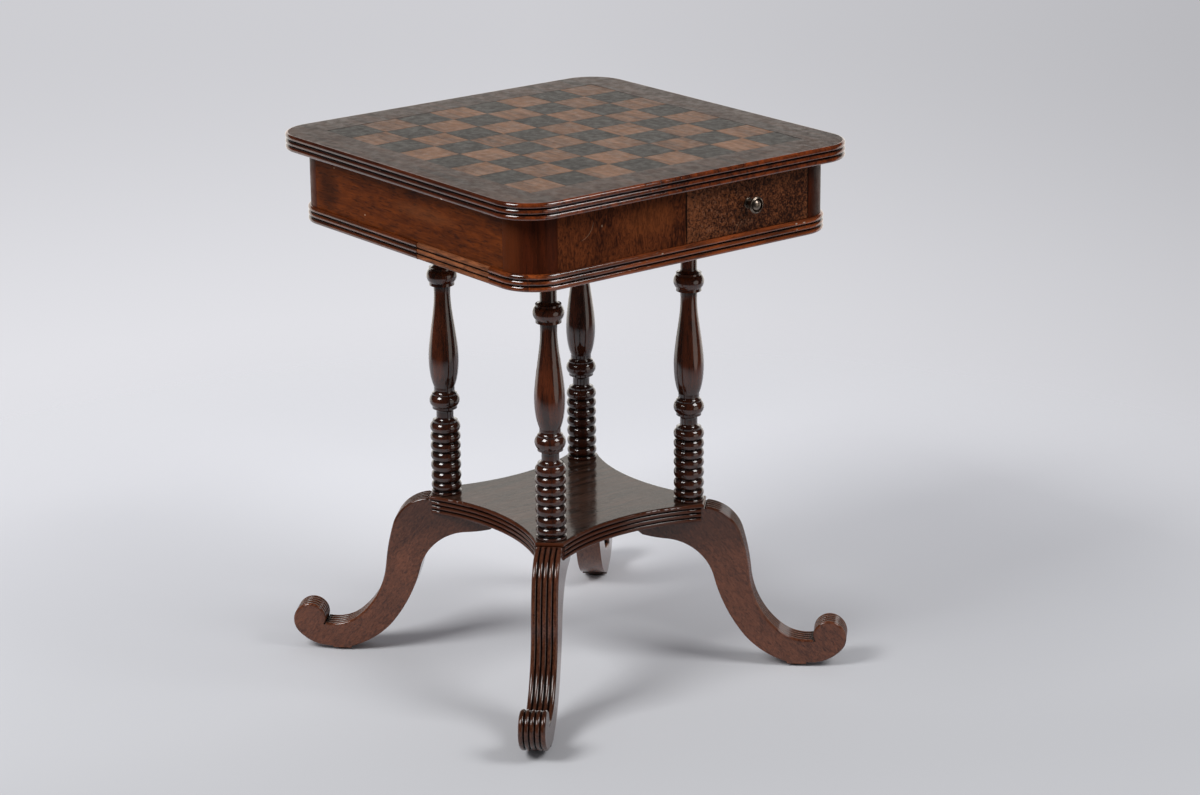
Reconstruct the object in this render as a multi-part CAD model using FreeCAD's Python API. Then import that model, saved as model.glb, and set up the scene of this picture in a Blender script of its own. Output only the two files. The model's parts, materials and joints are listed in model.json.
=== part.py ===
"""Square chess table: inlaid top, frieze with two drawers, turned columns, platform, scrolled legs.

All sizes are in millimetres. The origin is on the floor under the centre of the table, +Z is up
and the front drawer opens towards -Y.
"""
import FreeCAD
import Part
import math
import os
from FreeCAD import Vector

# ---- Chessboard let into the top
SQUARE = 55.0
SQUARES_A_SIDE = 8
INLAY_THICKNESS = 4.0
GLUE_LINE = 0.15

# ---- Top
TOP_SIZE = 550.0
TOP_THICKNESS = 22.0
TOP_CORNER_RADIUS = 55.0
TOP_REEDS = 3
REED_LAND = 0.3  # flat left between the upper and lower round of a reed

# ---- Frieze
TOP_OVERHANG = 24.0  # edge of the top beyond the face of the frieze
FRIEZE_HEIGHT = 74.0
POST_RADIUS = 48.0
RAIL_THICKNESS = 20.0  # ground and veneer together
VENEER_THICKNESS = 1.0
PARTITION_THICKNESS = 10.0
PARTITION_LAP = 4.0  # how far a fixed panel backs on to the partition's end

# ---- Moulding and board under the frieze
MOULDING_HEIGHT = 22.0
MOULDING_PROJECTION = 4.0
MOULDING_REEDS = 3
REPAIR_START = -178.0  # spliced length of moulding on the left side, along Y
REPAIR_END = -26.0
REPAIR_SET_BACK = 0.8
BOTTOM_BOARD_THICKNESS = 18.0

# ---- Drawers
DRAWER_SIDE_GAP = 0.6
DRAWER_RUNNING_GAP = 0.3
DRAWER_TOP_GAP = 6.0
DRAWER_SIDE_THICKNESS = 8.0
DRAWER_BOTTOM_THICKNESS = 5.0
DRAWER_BOTTOM_LIFT = 6.0  # underside of the bottom above the lower edge of the sides
DRAWER_GROOVE = 4.0
DOVETAIL_LAP = 12.0
DOVETAIL_COUNT = 3
DOVETAIL_WIDTH = 16.0  # widest part of a tail
DOVETAIL_SLOPE = 1.0 / 6.0
STOP_LENGTH = 80.0
STOP_DEPTH = 8.0
STOP_HEIGHT = 12.0
GUIDE_HEIGHT = 16.0

# ---- Drawer knob
KNOB_COLLAR_RADIUS = 6.5
KNOB_COLLAR_HEIGHT = 1.6
KNOB_COLLAR_SWELL = 0.5
KNOB_STEM_RADIUS = 4.0
KNOB_STEM_HEIGHT = 5.4
KNOB_CUP_HEIGHT = 7.0
KNOB_RIM_RADIUS = 9.9
KNOB_RIM_HEIGHT = 3.0
KNOB_RIM_SWELL = 1.1
KNOB_LIP_WIDTH = 1.1  # rim's top, inside its outer round
KNOB_LIP_RISE = 0.9
KNOB_RECESS_WIDTH = 1.1
KNOB_RECESS_DEPTH = 2.7
KNOB_DOME_HEIGHT = 4.8
KNOB_SHANK_RADIUS = 2.5
KNOB_NUT_RADIUS = 6.0
KNOB_NUT_HEIGHT = 4.0

# ---- Columns
COLUMN_INSET = 22.0  # axis of a column from the platform's corner
COLUMN_HEIGHT = 382.5  # platform to bottom board
COLUMN_RADIUS = 20.4
COLUMN_BASE_HEIGHT = 4.5
COLUMN_BASE_SWELL = 1.2
QUIRK_HEIGHT = 1.0  # sunk line between the base and the lowest ring
RING_HEIGHT = 13.64
RING_SHARES = (0.887, 1.063, 1.107, 0.975, 0.96, 0.975, 1.034)  # hand turned, so no two are quite alike
RING_SWELL = 3.4
FILLET_RADIUS = 16.8
RING_FILLET_HEIGHT = 2.0
RING_COVE_HEIGHT = 5.0
LOWER_NECK_RADIUS = 11.6
LOWER_NECK_HEIGHT = 8.0
LOWER_COVE_HEIGHT = 4.0
KNOP_FILLET_HEIGHT = 3.0
KNOP_HEIGHT = 16.5
KNOP_TOP_HEIGHT = 1.5
VASE_COVE_HEIGHT = 6.0
VASE_FOOT_HEIGHT = 3.0
VASE_FOOT_RADIUS = 14.0
VASE_BELLY_RADIUS = 20.1
VASE_OUTLINE = ((0.07, 0.85), (0.18, 0.97), (0.29, 1.0), (0.46, 0.91),
                (0.69, 0.69), (0.92, 0.547), (1.0, 0.575))  # shares of its length and belly radius
COLLAR_FILLET_HEIGHT = 4.0
COLLAR_HEIGHT = 18.0
COLLAR_TOP_HEIGHT = 2.5
COLLAR_COVE_HEIGHT = 4.5
UPPER_NECK_RADIUS = 11.0
UPPER_NECK_HEIGHT = 29.5
UPPER_COVE_HEIGHT = 5.0
CAP_FILLET_HEIGHT = 2.5
CAP_BEAD_HEIGHT = 14.0
CAP_TOP_HEIGHT = 1.5
CAP_HEIGHT = 10.0
CAP_SWELL = 0.8
PIN_RADIUS = 9.5
TOP_PIN_LENGTH = 14.0
FOOT_PIN_LENGTH = 44.0
PIN_GAP = 0.05

# ---- Platform
PLATFORM_THICKNESS = 25.0
PLATFORM_REEDS = 4
PLATFORM_WAIST = 232.0  # across the middle of two opposite hollow sides
PLATFORM_DIAGONAL = 372.0  # across two opposite corners
PLATFORM_CORNER_WIDTH = 37.0
PLATFORM_LIP = 4.0  # how far the top reed stands over the leg's seat

# ---- Legs, drawn along the diagonal outwards from the platform's corner
LEG_HEIGHT = 199.5  # underside of the foot to underside of the platform
LEG_WIDTH = 35.0
LEG_REEDS = 5
LEG_REED_DEPTH = 2.8
LEG_REED_ROOT = 1.0  # thickness of the root that the reeds stand on
LEG_CORE_OVERLAP = 0.5  # how far the leg's core reaches into that root
LEG_CAP_SINK = 0.2  # how far the stopped ends of the reeds lie below their crests
LEG_CAP_MARGIN = 0.1
LEG_INNER_BOW = 2.2  # how far the inner end is hollowed
LEG_SEAT_END = 2.5  # length of leg top that touches the underside of the lip
LEG_START_OUT = 4.0  # start of the reeds beyond the corner
LEG_START_RISE = 2.45  # and above the underside of the lip

# ---- Outline of a leg, in shares of its height; turns in degrees, negative to the right
BACK_HEADING = -6.3
BACK_RADII = (0.2742, 1.5504, 0.5659, 0.2822)
BACK_TURNS = (-67.3, -11.0, 44.4, 50.5)
SCROLL_START = (0.7484, 0.1624)  # beyond the corner, above the underside of the foot
SCROLL_HEADING = 113.9
SCROLL_RADII = (0.1073, 0.1283, 0.3003)
SCROLL_TURNS = (-145.7, -100.3, -49.7)
PAD_START = 0.5639  # flat under the foot, from the corner
PAD_END = 0.6917
PAD_STEP = 0.013
BELLY_HEADING = 164.8
BELLY_RADII = (0.579, 1.0877, 0.3529, 0.8782)
BELLY_TURNS = (-37.8, -22.6, 72.4, -10.7)
INNER_REACH = 0.4912  # inner end of the leg's top, inwards from the corner

# ---- Glides and screws
GLIDE_RADIUS = 12.0
GLIDE_THICKNESS = 4.0
GLIDE_EDGE = 0.8
GLIDE_NAIL_RADIUS = 1.5
GLIDE_NAIL_LENGTH = 14.0
SCREW_RADIUS = 2.2
SCREW_HEAD_RADIUS = 4.2
SCREW_HEAD_HEIGHT = 2.6
SCREW_TIP_RADIUS = 0.3
SCREW_SLOT_WIDTH = 1.0
SCREW_SLOT_DEPTH = 0.9
SCREW_GAP = 0.05
SCREW_BITE = 13.0
LEG_SCREW_INSET = 68.0  # from the platform's corner
LEG_SCREW_WOOD = 12.0  # leg left between the screw's head and the platform
CLEAT_SIZE = 20.0
CLEAT_END_GAP = 12.0
CLEAT_SCREWS = 3
CLEAT_SCREW_END = 30.0

# ---- Levels above the floor, and half sizes
FOOT_Z = GLIDE_THICKNESS
PLATFORM_Z = FOOT_Z + LEG_HEIGHT
COLUMN_Z = PLATFORM_Z + PLATFORM_THICKNESS
BOARD_Z = COLUMN_Z + COLUMN_HEIGHT
FRIEZE_Z = BOARD_Z + BOTTOM_BOARD_THICKNESS
MOULDING_Z = FRIEZE_Z - MOULDING_HEIGHT
TOP_Z = FRIEZE_Z + FRIEZE_HEIGHT
TABLE_HEIGHT = TOP_Z + TOP_THICKNESS
FRIEZE_HALF = TOP_SIZE / 2 - TOP_OVERHANG
POST_CENTRE = FRIEZE_HALF - POST_RADIUS
INNER_HALF = FRIEZE_HALF - RAIL_THICKNESS
GROUND_FACE = FRIEZE_HALF - VENEER_THICKNESS
PARTITION_HALF = PARTITION_THICKNESS / 2
PANEL_END = PARTITION_HALF - PARTITION_LAP
CORNER_REACH = PLATFORM_DIAGONAL / 2
COLUMN_REACH = CORNER_REACH - COLUMN_INSET
GLIDE_REACH = CORNER_REACH + LEG_HEIGHT * (PAD_START + PAD_END) / 2
LEG_SCREW_REACH = CORNER_REACH - LEG_SCREW_INSET
CUT = 1.0  # how far a cutting tool passes beyond what it cuts
UP = Vector(0, 0, 1)
CENTRE = Vector(0, 0, 0)
CORNERS = (("front_right", -45), ("rear_right", 45), ("rear_left", 135), ("front_left", -135))


def box(low, high):
    """Box between two opposite corners."""
    size = [high[axis] - low[axis] for axis in range(3)]
    return Part.makeBox(size[0], size[1], size[2], Vector(*low))


def turned(shape, angle):
    """Copy of a shape turned about the table's upright axis."""
    copy = shape.copy()
    copy.rotate(CENTRE, UP, angle)
    return copy


def moved(shape, x, y, z):
    """Copy of a shape moved by the given distances."""
    copy = shape.copy()
    copy.translate(Vector(x, y, z))
    return copy


def joined(shapes):
    """One clean solid from shapes that touch or overlap."""
    shapes = list(shapes)
    return shapes[0].fuse(shapes[1:]).removeSplitter()


def cylinder(radius, low, high, x=0.0, y=0.0):
    """Upright cylinder between two levels."""
    return Part.makeCylinder(radius, high - low, Vector(x, y, low), UP)


def export(name, *solids):
    """Write one node from one or more separate solids."""
    shape = solids[0] if len(solids) == 1 else Part.makeCompound(list(solids))
    shape.exportStep("parts/%s.step" % name)


# ---- Reeded edges
def rounded_square(half, radius):
    """Flat square outline with rounded corners, centred on the axis."""
    block = Part.makeBox(2 * half, 2 * half, CUT, Vector(-half, -half, 0))
    upright = [edge for edge in block.Edges if abs(edge.tangentAt(edge.FirstParameter).z) > 0.5]
    block = block.makeFillet(radius, upright)
    base = [face for face in block.Faces if abs(face.CenterOfMass.z) < 1e-6]
    return base[0]


def lies_flat(edge):
    """True for an edge that stays at one level."""
    return edge.BoundBox.ZLength < 1e-6


def reed_layer(outline, height, is_worked):
    """Plate of one reed's height, its chosen edges rounded."""
    plate = outline.extrude(Vector(0, 0, height))
    edges = [edge for edge in plate.Edges if lies_flat(edge) and is_worked(edge)]
    return plate.makeFillet((height - REED_LAND) / 2, edges)


def reeded_plate(outline, bottom, thickness, reeds):
    """Plate whose whole edge is worked into equal half-round reeds."""
    height = thickness / reeds
    layer = reed_layer(outline, height, lambda edge: True)
    return joined(moved(layer, 0, 0, bottom + index * height) for index in range(reeds))


# ---- Turned work
class Turning:
    """Half outline of a turned piece, drawn upwards from its lowest point on the axis."""

    def __init__(self, bottom):
        self.bottom = bottom
        self.point = Vector(0, 0, bottom)
        self.edges = []

    def line(self, radius, height):
        """Straight line to a radius and a height further on."""
        end = Vector(radius, 0, self.point.z + height)
        self.edges.append(Part.LineSegment(self.point, end).toShape())
        self.point = end

    def shoulder(self, radius):
        """Flat step to a new radius."""
        self.line(radius, 0)

    def rise(self, height):
        """Plain length at the present radius."""
        self.line(self.point.x, height)

    def arc(self, middle, end):
        """Arc through a middle point to an end point."""
        self.edges.append(Part.Arc(self.point, middle, end).toShape())
        self.point = end

    def bead(self, height, swell):
        """Round that swells outwards and comes back to the same radius."""
        radius, z = self.point.x, self.point.z
        self.arc(Vector(radius + swell, 0, z + height / 2), Vector(radius, 0, z + height))

    def cove(self, height, radius):
        """Quarter hollow to a new radius."""
        bow = 1 - math.sqrt(0.5)
        start, end = self.point, Vector(radius, 0, self.point.z + height)
        level = start.z + bow * height if radius < start.x else end.z - bow * height
        inner = min(radius, start.x)
        self.arc(Vector(inner + bow * abs(radius - start.x), 0, level), end)

    def dome(self, height):
        """Round crown that closes on the axis."""
        radius = self.point.x
        sphere = (radius ** 2 + height ** 2) / (2 * height)
        crown = self.point.z + height
        angle = math.atan2(radius, sphere - height) / 2
        middle = Vector(sphere * math.sin(angle), 0, crown - sphere * (1 - math.cos(angle)))
        self.arc(middle, Vector(0, 0, crown))

    def curve(self, length, points):
        """Smooth curve through (share of the length, radius) points."""
        base = self.point.z
        places = [self.point] + [Vector(radius, 0, base + share * length) for share, radius in points]
        spline = Part.BSplineCurve()
        spline.interpolate(places)
        self.edges.append(spline.toShape())
        self.point = places[-1]

    def solid(self):
        """Solid of revolution, closed along the axis."""
        if self.point.x > 0:
            self.shoulder(0)
        foot = Vector(0, 0, self.bottom)
        self.edges.append(Part.LineSegment(self.point, foot).toShape())
        return Part.Face(Part.Wire(self.edges)).revolve(CENTRE, UP, 360)


def column_foot(turning):
    """Ring-turned lower part of a column, up to the foot of the vase."""
    turning.shoulder(COLUMN_RADIUS - COLUMN_BASE_SWELL)
    turning.bead(COLUMN_BASE_HEIGHT, COLUMN_BASE_SWELL)
    turning.shoulder(COLUMN_RADIUS - RING_SWELL)
    turning.rise(QUIRK_HEIGHT)
    for share in RING_SHARES:
        turning.bead(share * RING_HEIGHT, RING_SWELL)
    turning.shoulder(FILLET_RADIUS)
    turning.rise(RING_FILLET_HEIGHT)
    turning.cove(RING_COVE_HEIGHT, LOWER_NECK_RADIUS)
    turning.rise(LOWER_NECK_HEIGHT)
    turning.cove(LOWER_COVE_HEIGHT, FILLET_RADIUS)
    turning.rise(KNOP_FILLET_HEIGHT)
    turning.bead(KNOP_HEIGHT, COLUMN_RADIUS - FILLET_RADIUS)
    turning.rise(KNOP_TOP_HEIGHT)
    turning.cove(VASE_COVE_HEIGHT, VASE_FOOT_RADIUS)
    turning.rise(VASE_FOOT_HEIGHT)


def column_head(turning):
    """Collar, upper neck and cap of a column, above the vase."""
    turning.shoulder(FILLET_RADIUS)
    turning.rise(COLLAR_FILLET_HEIGHT)
    turning.bead(COLLAR_HEIGHT, COLUMN_RADIUS - FILLET_RADIUS)
    turning.rise(COLLAR_TOP_HEIGHT)
    turning.cove(COLLAR_COVE_HEIGHT, UPPER_NECK_RADIUS)
    turning.rise(UPPER_NECK_HEIGHT)
    turning.cove(UPPER_COVE_HEIGHT, FILLET_RADIUS)
    turning.rise(CAP_FILLET_HEIGHT)
    turning.bead(CAP_BEAD_HEIGHT, COLUMN_RADIUS - FILLET_RADIUS)
    turning.rise(CAP_TOP_HEIGHT)
    turning.shoulder(COLUMN_RADIUS - CAP_SWELL)
    turning.bead(CAP_HEIGHT, CAP_SWELL)


def length_of(part):
    """Height that one of the column's turned parts takes up."""
    trial = Turning(0)
    trial.shoulder(COLUMN_RADIUS)
    part(trial)
    return trial.point.z


def column():
    """One column on the table's axis, with a pin at each end."""
    turning = Turning(COLUMN_Z - FOOT_PIN_LENGTH)
    turning.shoulder(PIN_RADIUS)
    turning.rise(FOOT_PIN_LENGTH)
    column_foot(turning)
    vase_length = COLUMN_HEIGHT - length_of(column_foot) - length_of(column_head)
    turning.curve(vase_length, [(share, width * VASE_BELLY_RADIUS) for share, width in VASE_OUTLINE])
    column_head(turning)
    turning.shoulder(PIN_RADIUS)
    turning.rise(TOP_PIN_LENGTH)
    return turning.solid()


def screw(length):
    """Countersunk slotted screw, head down at the origin and point up."""
    turning = Turning(0)
    turning.shoulder(SCREW_HEAD_RADIUS)
    turning.line(SCREW_RADIUS, SCREW_HEAD_HEIGHT)
    turning.rise(length - SCREW_HEAD_HEIGHT - 2 * SCREW_RADIUS)
    turning.line(SCREW_TIP_RADIUS, 2 * SCREW_RADIUS)
    slot = box((-SCREW_HEAD_RADIUS, -SCREW_SLOT_WIDTH / 2, -CUT),
               (SCREW_HEAD_RADIUS, SCREW_SLOT_WIDTH / 2, SCREW_SLOT_DEPTH))
    return turning.solid().cut(slot)


def screw_hole(length):
    """Countersunk hole that fits round a screw of the same length."""
    turning = Turning(-CUT)
    turning.shoulder(SCREW_HEAD_RADIUS + SCREW_GAP)
    turning.rise(CUT)
    turning.line(SCREW_RADIUS + SCREW_GAP, SCREW_HEAD_HEIGHT)
    turning.rise(length - SCREW_HEAD_HEIGHT + SCREW_GAP)
    return turning.solid()


# ---- Legs
class Path:
    """Chain of tangent arcs in the upright plane through the leg, x outwards and z up."""

    def __init__(self, start, heading, shares, turns, inset=0.0):
        self.steps = []
        angle = math.radians(heading)
        x, z = start
        for share, turn in zip(shares, turns):
            radius = share * LEG_HEIGHT
            side = math.copysign(1, turn)
            centre = (x - side * radius * math.sin(angle), z + side * radius * math.cos(angle))
            self.steps.append((centre, side, radius, angle, turn))
            angle += math.radians(turn)
            x = centre[0] + side * radius * math.sin(angle)
            z = centre[1] - side * radius * math.cos(angle)
        self.inset = inset

    def place(self, step, share):
        """Point at a share of one arc, moved to the right of the path by the inset."""
        centre, side, radius, angle, turn = step
        heading = angle + math.radians(turn) * share
        reach = side * radius + self.inset
        return Vector(centre[0] + reach * math.sin(heading), 0, centre[1] - reach * math.cos(heading))

    def edges(self):
        """The arcs as edges, in order."""
        result = []
        for step in self.steps:
            points = [self.place(step, share) for share in (0, 0.5, 1)]
            result.append(Part.Arc(*points).toShape())
        return result

    def start(self):
        """First point."""
        return self.place(self.steps[0], 0)

    def end(self):
        """Last point."""
        return self.place(self.steps[-1], 1)

    def swept(self, depth_profile):
        """Sweep a face drawn as (across, depth) along the path, depth to the path's right."""
        pieces = []
        for centre, side, radius, angle, turn in self.steps:
            inward = Vector(math.sin(angle), 0, -math.cos(angle))
            origin = Vector(centre[0], 0, centre[1]) + inward * (side * radius)
            face = depth_profile(origin, inward)
            axis = Vector(0, -side, 0)
            pieces.append(face.revolve(Vector(centre[0], 0, centre[1]), axis, abs(turn)))
        return joined(pieces)


def reed_profile(origin, inward):
    """Section of the leg's reeded face: a row of rounds on a thin flat root."""
    pitch = LEG_WIDTH / LEG_REEDS
    half = LEG_WIDTH / 2

    def at(across, depth):
        return origin + Vector(0, across, 0) + inward * depth

    edges = []
    for reed in range(LEG_REEDS):
        left = -half + reed * pitch
        points = (at(left, LEG_REED_DEPTH), at(left + pitch / 2, 0), at(left + pitch, LEG_REED_DEPTH))
        edges.append(Part.Arc(*points).toShape())
    root = LEG_REED_DEPTH + LEG_REED_ROOT
    outline = (at(half, LEG_REED_DEPTH), at(half, root), at(-half, root), at(-half, LEG_REED_DEPTH))
    for first, second in zip(outline, outline[1:]):
        edges.append(Part.LineSegment(first, second).toShape())
    return Part.Face(Part.Wire(edges))


def reed_caps(start, heading):
    """Rounded ends that stop the reeds at the top of the leg."""
    pitch = LEG_WIDTH / LEG_REEDS
    radius = pitch / 2 - LEG_CAP_MARGIN
    angle = math.radians(heading)
    depth = radius + LEG_CAP_SINK
    x = start[0] + depth * math.sin(angle)
    z = start[1] - depth * math.cos(angle)
    rows = range(LEG_REEDS)
    return [Part.makeSphere(radius, Vector(x, (row + 0.5) * pitch - LEG_WIDTH / 2, z)) for row in rows]


def leg():
    """One leg along +X, drawn from the platform's corner and the underside of its foot, then placed."""
    root = LEG_REED_DEPTH + LEG_REED_ROOT - LEG_CORE_OVERLAP
    lip_level = LEG_HEIGHT + PLATFORM_THICKNESS - PLATFORM_THICKNESS / PLATFORM_REEDS
    start = (LEG_START_OUT, lip_level + LEG_START_RISE)
    scroll_start = [share * LEG_HEIGHT for share in SCROLL_START]
    pad_start = PAD_START * LEG_HEIGHT
    back = Path(start, BACK_HEADING, BACK_RADII, BACK_TURNS)
    back_core = Path(start, BACK_HEADING, BACK_RADII, BACK_TURNS, root)
    scroll = Path(scroll_start, SCROLL_HEADING, SCROLL_RADII, SCROLL_TURNS)
    scroll_core = Path(scroll_start, SCROLL_HEADING, SCROLL_RADII, SCROLL_TURNS, root)
    belly = Path((pad_start, PAD_STEP * LEG_HEIGHT), BELLY_HEADING, BELLY_RADII, BELLY_TURNS)
    corners = [Vector(-INNER_REACH * LEG_HEIGHT, 0, LEG_HEIGHT), Vector(-PLATFORM_LIP, 0, LEG_HEIGHT),
               Vector(-PLATFORM_LIP, 0, lip_level), Vector(LEG_SEAT_END - PLATFORM_LIP, 0, lip_level),
               back_core.start()]
    edges = [Part.LineSegment(first, second).toShape() for first, second in zip(corners, corners[1:])]
    edges += back_core.edges()
    edges.append(Part.LineSegment(back_core.end(), scroll_core.start()).toShape())
    edges += scroll_core.edges()
    foot = [scroll_core.end(), Vector(PAD_END * LEG_HEIGHT, 0, 0), Vector(pad_start, 0, 0), belly.start()]
    edges += [Part.LineSegment(first, second).toShape() for first, second in zip(foot, foot[1:])]
    edges += belly.edges()
    tail_end = belly.end()
    chord = corners[0] - tail_end
    bow = Vector(chord.z, 0, -chord.x).normalize() * LEG_INNER_BOW
    edges.append(Part.Arc(tail_end, (tail_end + corners[0]) * 0.5 - bow, corners[0]).toShape())
    core = Part.Face(Part.Wire(Part.__sortEdges__(edges))).extrude(Vector(0, LEG_WIDTH, 0))
    core = moved(core, 0, -LEG_WIDTH / 2, 0)
    reeds = [path.swept(reed_profile) for path in (back, scroll)]
    body = joined([core] + reeds + reed_caps(start, BACK_HEADING))
    return moved(body, CORNER_REACH, 0, FOOT_Z)


def glide():
    """Round glide with its nail, under the foot of the leg along +X."""
    turning = Turning(0)
    turning.shoulder(GLIDE_RADIUS - GLIDE_EDGE)
    turning.line(GLIDE_RADIUS, GLIDE_EDGE)
    turning.rise(GLIDE_THICKNESS - GLIDE_EDGE)
    turning.shoulder(GLIDE_NAIL_RADIUS)
    turning.rise(GLIDE_NAIL_LENGTH)
    return moved(turning.solid(), GLIDE_REACH, 0, 0)


def make_legs():
    """The four legs, their glides and the screws that hold them to the platform."""
    screw_foot = PLATFORM_Z - LEG_SCREW_WOOD
    screw_length = LEG_SCREW_WOOD + SCREW_BITE
    one_leg = leg()
    one_leg = one_leg.cut(cylinder(PIN_RADIUS + PIN_GAP, COLUMN_Z - FOOT_PIN_LENGTH - PIN_GAP,
                                   PLATFORM_Z + CUT, COLUMN_REACH))
    one_leg = one_leg.cut(moved(screw_hole(screw_length), LEG_SCREW_REACH, 0, screw_foot))
    one_leg = one_leg.cut(cylinder(SCREW_HEAD_RADIUS + SCREW_GAP, FOOT_Z, screw_foot, LEG_SCREW_REACH))
    one_leg = one_leg.cut(cylinder(GLIDE_NAIL_RADIUS + SCREW_GAP, 0,
                                   GLIDE_THICKNESS + GLIDE_NAIL_LENGTH + SCREW_GAP, GLIDE_REACH))
    one_glide = glide()
    one_screw = moved(screw(screw_length), LEG_SCREW_REACH, 0, screw_foot)
    for name, angle in CORNERS:
        export("leg_" + name, turned(one_leg, angle))
        export("glide_" + name, turned(one_glide, angle))
    export("leg_screws", *[turned(one_screw, angle) for name, angle in CORNERS])


# ---- Platform
def hollow_radius():
    """Radius of the platform's hollow sides, through their middles and the ends of the corners."""
    half_chord = (CORNER_REACH - PLATFORM_CORNER_WIDTH / 2) / math.sqrt(2)
    depth = (CORNER_REACH + PLATFORM_CORNER_WIDTH / 2) / math.sqrt(2) - PLATFORM_WAIST / 2
    return (half_chord ** 2 + depth ** 2) / (2 * depth)


def diamond(reach):
    """Flat square on its point, its sides at a distance from the centre."""
    return turned(Part.makePlane(2 * reach, 2 * reach, Vector(-reach, -reach, 0)), 45)


def hollow_plate(reach, height):
    """Plate with four hollow, rounded sides, its corners cut off square at a reach."""
    radius = hollow_radius()
    outline = diamond(reach)
    for quarter in range(4):
        middle = Vector(0, -PLATFORM_WAIST / 2 - radius, 0)
        disc = Part.Face(Part.Wire(Part.makeCircle(radius, middle)))
        outline = outline.cut(turned(disc, 90 * quarter))
    centre_face = min(outline.Faces, key=lambda face: face.CenterOfMass.Length)
    return reed_layer(centre_face, height, lambda edge: isinstance(edge.Curve, Part.Circle))


def make_platform():
    """Platform: a top reed that runs right round, over reeds that stop at the legs."""
    reed = PLATFORM_THICKNESS / PLATFORM_REEDS
    lower = hollow_plate(CORNER_REACH - PLATFORM_LIP, reed)
    layers = [moved(lower, 0, 0, PLATFORM_Z + index * reed) for index in range(PLATFORM_REEDS - 1)]
    lip = hollow_plate(CORNER_REACH + PLATFORM_LIP, reed)
    lip = lip.common(reed_layer(diamond(CORNER_REACH), reed, lambda edge: True))
    layers.append(moved(lip, 0, 0, COLUMN_Z - reed))
    plate = joined(layers)
    hole = cylinder(PIN_RADIUS + PIN_GAP, PLATFORM_Z - CUT, COLUMN_Z + CUT, COLUMN_REACH)
    pilot = cylinder(SCREW_RADIUS + SCREW_GAP, PLATFORM_Z - CUT, PLATFORM_Z + SCREW_BITE + SCREW_GAP,
                     LEG_SCREW_REACH)
    holes = [turned(tool, angle) for name, angle in CORNERS for tool in (hole, pilot)]
    export("platform", plate.cut(holes))


def make_columns():
    """The four columns."""
    one_column = moved(column(), COLUMN_REACH, 0, 0)
    for name, angle in CORNERS:
        export("column_" + name, turned(one_column, angle))


# ---- Frieze, moulding and bottom board
def make_bottom_board():
    """Board that carries the drawers and takes the pins of the columns."""
    board = box((-INNER_HALF, -INNER_HALF, BOARD_Z), (INNER_HALF, INNER_HALF, FRIEZE_Z))
    hole = cylinder(PIN_RADIUS + PIN_GAP, BOARD_Z - CUT, BOARD_Z + TOP_PIN_LENGTH + PIN_GAP, COLUMN_REACH)
    export("bottom_board", board.cut([turned(hole, angle) for name, angle in CORNERS]))


def moulding_ring(projection):
    """Reeded moulding as one ring round the bottom board."""
    outline = rounded_square(FRIEZE_HALF + projection, POST_RADIUS + projection)
    plate = reeded_plate(outline, MOULDING_Z, MOULDING_HEIGHT, MOULDING_REEDS)
    inside = box((-INNER_HALF, -INNER_HALF, MOULDING_Z - CUT), (INNER_HALF, INNER_HALF, FRIEZE_Z + CUT))
    return plate.cut(inside)


def make_moulding():
    """Moulding in mitred lengths, with the spliced repair in the left one."""
    far = TOP_SIZE
    ring = moulding_ring(MOULDING_PROJECTION)
    corners = [CENTRE, Vector(far, -far, 0), Vector(far, far, 0), CENTRE]
    right = Part.Face(Part.makePolygon(corners)).extrude(Vector(0, 0, TABLE_HEIGHT))
    for name, angle in (("front", -90), ("right", 0), ("rear", 90)):
        export("lower_moulding_" + name, ring.common(turned(right, angle)))
    left = ring.common(turned(right, 180))
    front_part = box((-far, -far, 0), (0, REPAIR_START, TABLE_HEIGHT))
    rear_part = box((-far, REPAIR_END, 0), (0, far, TABLE_HEIGHT))
    export("lower_moulding_left_front", left.common(front_part))
    export("lower_moulding_left_rear", left.common(rear_part))
    repair = moulding_ring(MOULDING_PROJECTION - REPAIR_SET_BACK)
    export("moulding_repair", repair.common(box((-far, REPAIR_START, 0), (0, REPAIR_END, TABLE_HEIGHT))))


def make_frieze():
    """Corner posts, side rails, fixed panels and the veneer on them."""
    post = Part.makeCylinder(POST_RADIUS, FRIEZE_HEIGHT, Vector(POST_CENTRE, POST_CENTRE, FRIEZE_Z), UP, 90)
    for name, angle in CORNERS:
        export("corner_post_" + name, turned(post, angle - 45))
    rail = box((INNER_HALF, -POST_CENTRE, FRIEZE_Z), (GROUND_FACE, POST_CENTRE, TOP_Z))
    sheet = box((GROUND_FACE, -POST_CENTRE, FRIEZE_Z), (FRIEZE_HALF, POST_CENTRE, TOP_Z))
    for name, angle in (("right", 0), ("left", 180)):
        export("side_rail_" + name, turned(rail, angle))
        export("side_veneer_" + name, turned(sheet, angle))
    panel = box((-POST_CENTRE, -GROUND_FACE, FRIEZE_Z), (-PANEL_END, -INNER_HALF, TOP_Z))
    sheet = box((-POST_CENTRE, -FRIEZE_HALF, FRIEZE_Z), (-PANEL_END, -GROUND_FACE, TOP_Z))
    for name, angle in (("front", 0), ("rear", 180)):
        export("fixed_panel_" + name, turned(panel, angle))
        export("fixed_veneer_" + name, turned(sheet, angle))


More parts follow.
